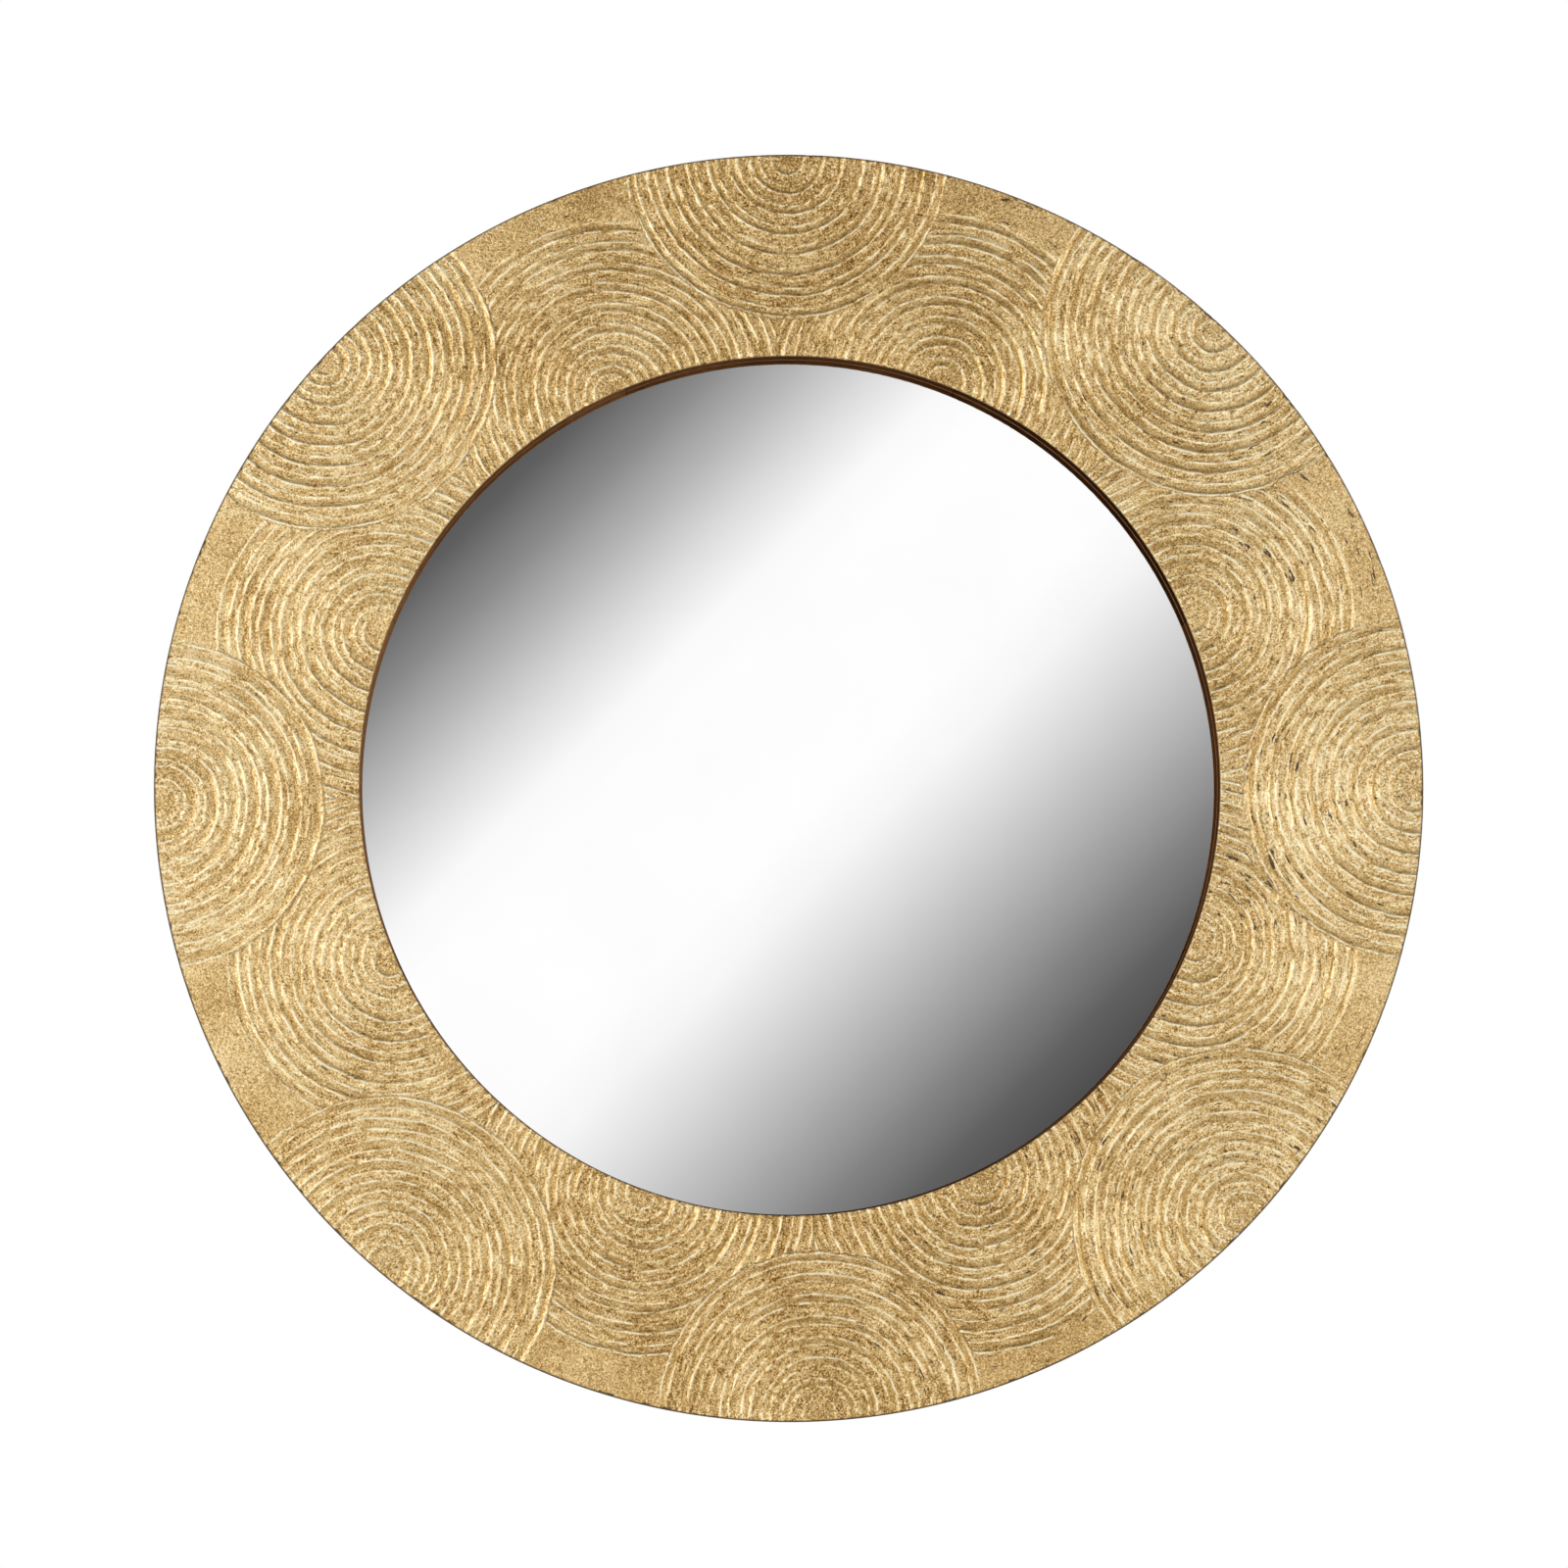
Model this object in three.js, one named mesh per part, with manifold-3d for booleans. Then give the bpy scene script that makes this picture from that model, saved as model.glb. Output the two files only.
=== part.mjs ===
// A round wall mirror: a flat glass set deep in a wide, flat ring, whose face is gesso
// combed into overlapping fans and gilded. Millimetres, +Z up, the glass faces -Y.
// The origin is the centre of the wall plane, which the four rubber bumpers touch.
import * as THREE from 'three';
import { mergeVertices } from 'three/addons/utils/BufferGeometryUtils.js';
import Module from 'manifold-3d';

const wasm = await Module();
wasm.setup();

// ---------------------------------------------------------------- driving dimensions

// Clearances between pieces that touch, pass through or run in each other
const SEAT_GAP = 0.3; // between faces that rest on each other
const HOLE_PLAY = 0.3; // around a screw shank, on the radius
const GLASS_PLAY = 1.2; // around the glass in its rebate, on the radius
const ROLL_PLAY = 0.3; // around the ring's wire in its roll, on the radius

// Turned wooden ring
const FRAME_DIAMETER = 600;
const OPENING_DIAMETER = 407;
const LIP_DEPTH = 13; // wall of the opening, from the ring's front face to the glass seat
const REBATE_WIDTH = 8.5;
const BOARD_ARRIS = 1;

// Gesso on the face, combed while wet
const BED_THICKNESS = 1; // solid coat that the comb never reached
const COMB_FLOOR = 0.2; // of the fans combed first, above the bed
const PLAIN_THICKNESS = 2.1; // between the fans, where nothing was combed
const GESSO_ARRIS = 1.2; // worn outer edge
const COMB_RELIEF = 1.1; // crest over trough
const FAN_RADIUS = 78.5;
const FAN_RIDGES = 8; // strong comb lines from a fan's centre to its edge
const UPPER_FAN_STEP = 0.4; // how far the fans combed last stand above the first
const FAN_LAP = 0.4; // of a fan's edge over the ground around it
const OUTER_FAN_INSET = 3.6; // fan centres inside the outer edge
const INNER_FAN_INSET = 1.5; // fan centres outside the opening

// Clock angles of the fans in degrees, set out by hand and so not quite regular
const OUTER_FAN_ANGLES = [359.6, 42.7, 90.4, 133.9, 177.3, 220, 267.9, 312.2];
const INNER_FAN_ANGLES = [20.3, 67, 111.8, 154.7, 199.5, 245.7, 290.1, 335.9];

// Glass and the stack behind it
const GLASS_THICKNESS = 4;
const GLASS_BEVEL = 0.6;
const PAD_THICKNESS = 3;
const BACK_THICKNESS = 3;
const BACK_OVERLAP = 14; // of the back board over the ring's rear face

// Screws
const SHANK_DIAMETER = 3;
const SCREW_POINT = 2.5;
const HEAD_DIAMETER = 6.6;
const HEAD_HEIGHT = 1.7;
const BACK_SCREW_COUNT = 8;
const BACK_SCREW_BITE = 12; // depth of the shank in the wood
const STRAP_SCREW_BITE = 12;

// Hangers near ten and two o'clock, in the middle of the bare wood
const HANGER_ANGLE = 64; // from the vertical to the ring's hinge
const STRAP_WIDTH = 12;
const STRAP_LENGTH = 46; // from the hinge to the strap's foot
const STRAP_THICKNESS = 1.2;
const STRAP_SCREW_MARGIN = 6; // from the strap's foot to its last screw
const STRAP_SCREW_PITCH = 12;
const WIRE_DIAMETER = 3;
const RING_WIDTH = 27; // between wire centres
const RING_HEIGHT = 20; // between wire centres
const RING_CORNER = 4;
const WIRE_END_GAP = 0.6; // where the bent wire's ends meet inside the roll

// Rubber bumpers
const BUMPER_DIAMETER = 18;
const BUMPER_HEIGHT = 7; // from the ring's rear face to the wall
const BUMPER_CHAMFER = 1;
const BUMPER_ANGLE = 30; // from the vertical, above and below

// Facets
const RING_SEGMENTS = 96;
const FAN_SEGMENTS = 24;
const SMALL_SEGMENTS = 16;
const WIRE_SIDES = 8;
const WIRE_STEPS = 44;

// ---------------------------------------------------------------- derived places

const outerRadius = FRAME_DIAMETER / 2;
const openingRadius = OPENING_DIAMETER / 2;
const rebateRadius = openingRadius + REBATE_WIDTH;
const glassRadius = rebateRadius - GLASS_PLAY;
const backRadius = rebateRadius + BACK_OVERLAP;
const backScrewRadius = rebateRadius + BACK_OVERLAP / 2;
const bareWoodMiddle = (backRadius + outerRadius) / 2;

// Distances from the wall plane towards the viewer, from the back to the front
const boardBack = BUMPER_HEIGHT;
const padBack = boardBack;
const padFront = padBack + PAD_THICKNESS;
const glassBack = padFront + SEAT_GAP;
const glassFront = glassBack + GLASS_THICKNESS;
const glassSeat = glassFront + SEAT_GAP;
const boardFront = glassSeat + LIP_DEPTH;
const gessoBack = boardFront + SEAT_GAP;
const plainFace = gessoBack + PLAIN_THICKNESS;
const bedFront = gessoBack + BED_THICKNESS;
const bedMiddle = gessoBack + BED_THICKNESS / 2;
const lowerTrough = bedFront + COMB_FLOOR;
const upperTrough = lowerTrough + UPPER_FAN_STEP;
const gessoFront = upperTrough + COMB_RELIEF;
const backBoardFront = boardBack - SEAT_GAP;
const backBoardBack = backBoardFront - BACK_THICKNESS;

// Hanger places
const wireRadius = WIRE_DIAMETER / 2;
const rollInner = wireRadius + ROLL_PLAY;
const rollOuter = rollInner + STRAP_THICKNESS;
const strapFront = boardBack - SEAT_GAP;
const strapBack = strapFront - STRAP_THICKNESS;
const rollCentre = strapFront - rollOuter;
const hangerPlace = clockPoint(HANGER_ANGLE, bareWoodMiddle);

// ---------------------------------------------------------------- geometry helpers

/** Point on the face at a clock angle (degrees, clockwise from the top) and radius. */
function clockPoint(angle, radius) {
  const turn = THREE.MathUtils.degToRad(angle);
  return { x: radius * Math.sin(turn), z: radius * Math.cos(turn) };
}

/** Body of revolution about the Y axis from [radius, distance from the wall] pairs. */
function turned(profile, segments) {
  const points = profile.map(([radius, distance]) => new THREE.Vector2(radius, -distance));
  return new THREE.LatheGeometry(points, segments);
}

/** Closed ring of revolution: the profile returns to its first point. */
function turnedRing(profile, segments) {
  return turned([...profile, profile[0]], segments);
}

/** Round bar along Y between two distances from the wall. */
function roundBar(radius, front, back, segments = SMALL_SEGMENTS) {
  return turned([[0, front], [radius, front], [radius, back], [0, back]], segments);
}

/** Solid for joining and cutting, made from a closed geometry. */
function toSolid(geometry) {
  const bare = geometry.clone();
  bare.deleteAttribute('normal');
  bare.deleteAttribute('uv');
  const merged = mergeVertices(bare, 1e-4);
  const corners = merged.index.array;
  const kept = [];
  for (let i = 0; i < corners.length; i += 3) {
    const [a, b, c] = corners.slice(i, i + 3);
    if (a !== b && b !== c && c !== a) kept.push(a, b, c);
  }
  return new wasm.Manifold(new wasm.Mesh({
    numProp: 3,
    vertProperties: new Float32Array(merged.attributes.position.array),
    triVerts: new Uint32Array(kept),
  }));
}

/** Geometry from a joined or cut solid. */
function toGeometry(solid) {
  const mesh = solid.getMesh();
  const geometry = new THREE.BufferGeometry();
  geometry.setAttribute('position', new THREE.BufferAttribute(mesh.vertProperties, 3));
  geometry.setIndex(new THREE.BufferAttribute(mesh.triVerts, 1));
  geometry.computeVertexNormals();
  return geometry;
}

/** Joins solids one after another. */
function joinAll(solids) {
  return solids.reduce((whole, next) => whole.add(next));
}

/** Cuts every tool out of a solid. */
function cutAll(solid, tools) {
  return tools.reduce((rest, tool) => rest.subtract(tool), solid);
}

/** Copy of a geometry at a place on the face. */
function placed(geometry, { x, z }) {
  return geometry.clone().translate(x, 0, z);
}

// ---------------------------------------------------------------- materials

const gilding = new THREE.MeshStandardMaterial({ color: '#c9a45c', roughness: 0.42, metalness: 0.85 });
const stainedWood = new THREE.MeshStandardMaterial({ color: '#4a2f1b', roughness: 0.6 });
const silveredGlass = new THREE.MeshStandardMaterial({ color: '#d8dadb', roughness: 0.03, metalness: 1 });
const greyFelt = new THREE.MeshStandardMaterial({ color: '#6f6c68', roughness: 0.95 });
const hardboard = new THREE.MeshStandardMaterial({ color: '#7a5636', roughness: 0.8 });
const zincSteel = new THREE.MeshStandardMaterial({ color: '#b3b2ad', roughness: 0.35, metalness: 1 });
const blackRubber = new THREE.MeshStandardMaterial({ color: '#1d1c1b', roughness: 0.85 });

const mirror = new THREE.Group();

/** Adds a named piece to the mirror. */
function addPiece(name, geometry, material, x = 0, z = 0) {
  const piece = new THREE.Mesh(geometry, material);
  piece.name = name;
  piece.position.set(x, 0, z);
  mirror.add(piece);
}

// ---------------------------------------------------------------- combed gesso face

/** Disc of concentric comb ridges, from its centre out, rooted in the bed. */
function combedFan(trough) {
  const crest = trough + COMB_RELIEF;
  const pitch = FAN_RADIUS / FAN_RIDGES;
  const profile = [[0, crest]];
  for (let ridge = 1; ridge <= FAN_RIDGES; ridge += 1) {
    profile.push([(ridge - 0.5) * pitch, trough]);
    profile.push([ridge * pitch, crest]);
  }
  profile.push([FAN_RADIUS, bedMiddle], [0, bedMiddle]);
  return turned(profile, FAN_SEGMENTS);
}

/** Ring of gesso as wide as the wooden ring's face, between two distances from the wall. */
function gessoRing(front, back) {
  return toSolid(turnedRing([
    [openingRadius, front],
    [outerRadius, front],
    [outerRadius, back],
    [openingRadius, back],
  ], RING_SEGMENTS));
}

/** Outline that the whole coat keeps inside, with its worn outer arris. */
function gessoEnvelope() {
  const over = gessoFront + COMB_RELIEF;
  return toSolid(turnedRing([
    [openingRadius, over],
    [outerRadius - GESSO_ARRIS - COMB_RELIEF, over],
    [outerRadius, gessoFront - GESSO_ARRIS],
    [outerRadius, gessoBack],
    [openingRadius, gessoBack],
  ], RING_SEGMENTS));
}

/** The inner fans were combed first and the outer ones over them; the rest stayed plain. */
function combedGessoFace() {
  const ground = roundBar(FAN_RADIUS - FAN_LAP, gessoFront + COMB_RELIEF, gessoBack, FAN_SEGMENTS);
  const copies = (geometry, angles, radius) => (
    joinAll(angles.map((angle) => toSolid(placed(geometry, clockPoint(angle, radius))))));
  const outerCopies = (geometry) => copies(geometry, OUTER_FAN_ANGLES, outerRadius - OUTER_FAN_INSET);
  const innerCopies = (geometry) => copies(geometry, INNER_FAN_ANGLES, openingRadius + INNER_FAN_INSET);
  const outerGround = outerCopies(ground);
  const plain = gessoRing(plainFace, bedMiddle).subtract(outerGround).subtract(innerCopies(ground));
  const inner = innerCopies(combedFan(lowerTrough)).subtract(outerGround);
  const outer = outerCopies(combedFan(upperTrough));
  const coat = gessoRing(bedFront, gessoBack).add(plain).add(inner).add(outer);
  return toGeometry(coat.intersect(gessoEnvelope()));
}

addPiece('combed_gesso_face', combedGessoFace(), gilding);

// ---------------------------------------------------------------- wooden ring

const backScrewPlaces = Array.from({ length: BACK_SCREW_COUNT }, (_, index) => (
  clockPoint((index + 0.5) * (360 / BACK_SCREW_COUNT), backScrewRadius)));

const hangers = [
  { side: 'left', x: -hangerPlace.x },
  { side: 'right', x: hangerPlace.x },
];

const lastScrewDrop = STRAP_LENGTH - STRAP_SCREW_MARGIN;
const strapScrewDrops = [lastScrewDrop - STRAP_SCREW_PITCH, lastScrewDrop];

/** Drilled hole for a shank that reaches a given distance from the wall. */
function shankHole(tip, mouth) {
  return roundBar(SHANK_DIAMETER / 2 + HOLE_PLAY, tip + HOLE_PLAY, mouth);
}

function frameBoard() {
  const blank = toSolid(turnedRing([
    [openingRadius + BOARD_ARRIS / 2, boardFront],
    [outerRadius, boardFront],
    [outerRadius, boardBack + BOARD_ARRIS],
    [outerRadius - BOARD_ARRIS, boardBack],
    [rebateRadius, boardBack],
    [rebateRadius, glassSeat],
    [openingRadius, glassSeat],
    [openingRadius, boardFront - BOARD_ARRIS / 2],
  ], RING_SEGMENTS));
  const backHole = shankHole(boardBack + BACK_SCREW_BITE, 0);
  const strapHole = shankHole(boardBack + STRAP_SCREW_BITE, 0);
  const holes = backScrewPlaces.map((place) => toSolid(placed(backHole, place)));
  for (const { x } of hangers) {
    for (const drop of strapScrewDrops) {
      holes.push(toSolid(placed(strapHole, { x, z: hangerPlace.z - drop })));
    }
  }
  return toGeometry(cutAll(blank, holes));
}

addPiece('frame_board', frameBoard(), stainedWood);

// ---------------------------------------------------------------- glass and its backing

addPiece('mirror_glass', turned([
  [0, glassFront],
  [glassRadius - GLASS_BEVEL, glassFront],
  [glassRadius, glassFront - GLASS_BEVEL],
  [glassRadius, glassBack + GLASS_BEVEL],
  [glassRadius - GLASS_BEVEL, glassBack],
  [0, glassBack],
], RING_SEGMENTS), silveredGlass);

addPiece('felt_pad', roundBar(glassRadius, padFront, padBack, RING_SEGMENTS), greyFelt);

function backBoard() {
  const disc = toSolid(roundBar(backRadius, backBoardFront, backBoardBack, RING_SEGMENTS));
  const hole = shankHole(boardBack, 0);
  return toGeometry(cutAll(disc, backScrewPlaces.map((place) => toSolid(placed(hole, place)))));
}

addPiece('back_board', backBoard(), hardboard);

// ---------------------------------------------------------------- screws

/** Round-headed wood screw: its head sits on a face and its shank bites into the ring. */
function woodScrew(seat, bite) {
  const underHead = seat - SEAT_GAP;
  const headBack = underHead - HEAD_HEIGHT;
  const tip = boardBack + bite;
  const headRadius = HEAD_DIAMETER / 2;
  return turned([
    [0, tip],
    [SHANK_DIAMETER / 2, tip - SCREW_POINT],
    [SHANK_DIAMETER / 2, underHead],
    [headRadius, underHead],
    [headRadius * 0.92, underHead - HEAD_HEIGHT / 2],
    [headRadius * 0.55, headBack],
    [0, headBack],
  ], SMALL_SEGMENTS);
}

const backScrew = woodScrew(backBoardBack, BACK_SCREW_BITE);
backScrewPlaces.forEach(({ x, z }, index) => {
  addPiece(`back_screw_${index + 1}`, backScrew, zincSteel, x, z);
});

// ---------------------------------------------------------------- hangers

/** Strap seen from its end: a flat leg with its top rolled round the ring's wire. */
function strapSection() {
  const section = new THREE.Shape();
  section.moveTo(-strapFront, -STRAP_LENGTH);
  section.lineTo(-strapBack, -STRAP_LENGTH);
  section.lineTo(-strapBack, 0);
  section.absarc(-rollCentre, 0, rollInner, Math.PI, -Math.PI / 2 + 0.25, true);
  section.absarc(-rollCentre, 0, rollOuter, -Math.PI / 2 + 0.25, Math.PI, false);
  section.closePath();
  return section;
}

function hangerStrap() {
  const strap = new THREE.ExtrudeGeometry(strapSection(), {
    depth: STRAP_WIDTH,
    bevelEnabled: false,
    curveSegments: SMALL_SEGMENTS / 2,
  });
  strap.translate(0, 0, -STRAP_WIDTH / 2);
  const sectionToPlace = new THREE.Matrix4().makeBasis(
    new THREE.Vector3(0, 1, 0),
    new THREE.Vector3(0, 0, 1),
    new THREE.Vector3(1, 0, 0),
  );
  strap.applyMatrix4(sectionToPlace);
  const hole = shankHole(boardBack, 0);
  const holes = strapScrewDrops.map((drop) => toSolid(placed(hole, { x: 0, z: -drop })));
  return toGeometry(cutAll(toSolid(strap), holes));
}

/** Centre line of the D-shaped ring, hanging straight down from its hinge. */
class RingPath extends THREE.Curve {
  constructor() {
    super();
    const half = RING_WIDTH / 2;
    this.outline = new THREE.Path();
    this.outline.moveTo(-WIRE_END_GAP / 2, 0);
    this.outline.lineTo(-half + RING_CORNER, 0);
    this.outline.absarc(-half + RING_CORNER, -RING_CORNER, RING_CORNER, Math.PI / 2, Math.PI, false);
    this.outline.lineTo(-half, half - RING_HEIGHT);
    this.outline.absarc(0, half - RING_HEIGHT, half, Math.PI, 2 * Math.PI, false);
    this.outline.lineTo(half, -RING_CORNER);
    this.outline.absarc(half - RING_CORNER, -RING_CORNER, RING_CORNER, 0, Math.PI / 2, false);
    this.outline.lineTo(WIRE_END_GAP / 2, 0);
  }

  getPoint(t, target = new THREE.Vector3()) {
    const point = this.outline.getPoint(t);
    return target.set(point.x, -rollCentre, point.y);
  }
}

function hangerRing() {
  const corners = Array.from({ length: WIRE_SIDES }, (_, index) => {
    const turn = ((index + 0.5) / WIRE_SIDES) * 2 * Math.PI;
    return new THREE.Vector2(wireRadius * Math.cos(turn), wireRadius * Math.sin(turn));
  });
  return new THREE.ExtrudeGeometry(new THREE.Shape(corners), {
    steps: WIRE_STEPS,
    extrudePath: new RingPath(),
    bevelEnabled: false,
  });
}

const strapShape = hangerStrap();
const ringShape = hangerRing();
const strapScrew = woodScrew(strapBack, STRAP_SCREW_BITE);
for (const { side, x } of hangers) {
  addPiece(`hanger_strap_${side}`, strapShape, zincSteel, x, hangerPlace.z);
  addPiece(`hanger_ring_${side}`, ringShape, zincSteel, x, hangerPlace.z);
  strapScrewDrops.forEach((drop, index) => {
    addPiece(`strap_screw_${side}_${index + 1}`, strapScrew, zincSteel, x, hangerPlace.z - drop);
  });
}

// ---------------------------------------------------------------- wall bumpers

const bumper = turned([
  [0, boardBack - SEAT_GAP],
  [BUMPER_DIAMETER / 2, boardBack - SEAT_GAP],
  [BUMPER_DIAMETER / 2, BUMPER_CHAMFER],
  [BUMPER_DIAMETER / 2 - BUMPER_CHAMFER, 0],
  [0, 0],
], SMALL_SEGMENTS);

const bumperAngles = {
  upper_left: -BUMPER_ANGLE,
  upper_right: BUMPER_ANGLE,
  lower_left: 180 + BUMPER_ANGLE,
  lower_right: 180 - BUMPER_ANGLE,
};
for (const [corner, angle] of Object.entries(bumperAngles)) {
  const { x, z } = clockPoint(angle, bareWoodMiddle);
  addPiece(`wall_bumper_${corner}`, bumper, blackRubber, x, z);
}

export default mirror;
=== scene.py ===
"""Visual model of a round gilded wall mirror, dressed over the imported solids.

A flat silvered glass sits deep in a wide turned ring. The ring's face is gesso that was
combed into overlapping fans while wet, then gilded and rubbed. The object's own sizes are in
millimetres and become metres where a mesh is made. +Z is up, the glass faces -Y, and the wall
is the plane y = 0, so a distance from the wall of d millimetres is y = -d / 1000.
"""

import logging
import math
from dataclasses import dataclass, field
from enum import Enum

import bmesh
import bpy
import numpy as np
from mathutils import Matrix, Vector


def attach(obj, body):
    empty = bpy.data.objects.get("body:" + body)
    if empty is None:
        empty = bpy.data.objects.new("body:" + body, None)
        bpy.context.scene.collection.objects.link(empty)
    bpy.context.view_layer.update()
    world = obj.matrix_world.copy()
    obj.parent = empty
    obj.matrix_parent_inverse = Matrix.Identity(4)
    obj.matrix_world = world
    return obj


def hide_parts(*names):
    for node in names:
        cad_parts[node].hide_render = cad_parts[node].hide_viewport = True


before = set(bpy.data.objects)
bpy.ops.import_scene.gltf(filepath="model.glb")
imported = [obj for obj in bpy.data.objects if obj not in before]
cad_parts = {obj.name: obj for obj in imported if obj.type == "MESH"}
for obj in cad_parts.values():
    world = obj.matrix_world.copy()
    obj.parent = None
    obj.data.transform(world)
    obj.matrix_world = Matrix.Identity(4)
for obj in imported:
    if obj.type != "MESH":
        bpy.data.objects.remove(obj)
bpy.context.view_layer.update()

MM = 0.001
log = logging.getLogger("mirror")

Rgba = tuple[float, float, float, float]
Profile = list[tuple[float, float]]


class Slot(Enum):
    """Material slots of the record, by name; no piece here takes its finish from them."""

    GOLD = "gilded_gesso"
    WOOD = "stained_wood"
    GLASS = "mirror"
    FELT = "felt"
    HARDBOARD = "hardboard"
    ZINC = "zinc_steel"
    RUBBER = "rubber"


class Side(Enum):
    """Side of the mirror as the viewer sees it; the value is the sign of x."""

    LEFT = -1
    RIGHT = 1


# ---------------------------------------------------------------- materials: helpers


def srgb(code: str) -> Rgba:
    """Turn an sRGB hex colour into a linear colour.

    Args:
        code: Colour as "#rrggbb".

    Returns:
        Linear red, green and blue, and an alpha of 1.
    """
    channels = [int(code[i : i + 2], 16) / 255 for i in (1, 3, 5)]
    linear = [c / 12.92 if c <= 0.04045 else ((c + 0.055) / 1.055) ** 2.4 for c in channels]
    return (linear[0], linear[1], linear[2], 1.0)


def add(
    tree: bpy.types.NodeTree,
    kind: str,
    inputs: dict | None = None,
    stops: list[tuple[float, Rgba]] | None = None,
    **settings: object,
) -> bpy.types.Node:
    """Add a node with its settings, values and links.

    Args:
        tree: Node tree that gets the node.
        kind: Node type, without its "ShaderNode" prefix.
        inputs: Value or output socket for each input, by name or index.
        stops: Position and colour of each stop of a colour ramp.
        **settings: Properties of the node.

    Returns:
        The new node.
    """
    node = tree.nodes.new("ShaderNode" + kind)
    for name, value in settings.items():
        setattr(node, name, value)
    for key, value in (inputs or {}).items():
        if isinstance(value, bpy.types.NodeSocket):
            tree.links.new(value, node.inputs[key])
        else:
            node.inputs[key].default_value = value
    if stops:
        ramp = node.color_ramp
        while len(ramp.elements) < len(stops):
            ramp.elements.new(1.0)
        for element, (position, colour) in zip(ramp.elements, stops):
            element.position = position
            element.color = colour
    return node


class Finish:
    """A surface finish that makes its own material once."""

    name: str

    def material(self) -> bpy.types.Material:
        """Return the finish's material, made on first use."""
        found = bpy.data.materials.get(self.name)
        if found:
            return found
        material = bpy.data.materials.new(self.name)
        material.use_nodes = True
        tree = material.node_tree
        tree.nodes.clear()
        surface = self.surface(tree)
        add(tree, "OutputMaterial", {"Surface": surface})
        return material

    def surface(self, tree: bpy.types.NodeTree) -> bpy.types.NodeSocket:
        """Build the nodes and return the shader's output."""
        raise NotImplementedError


# ---------------------------------------------------------------- materials: finishes


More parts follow.
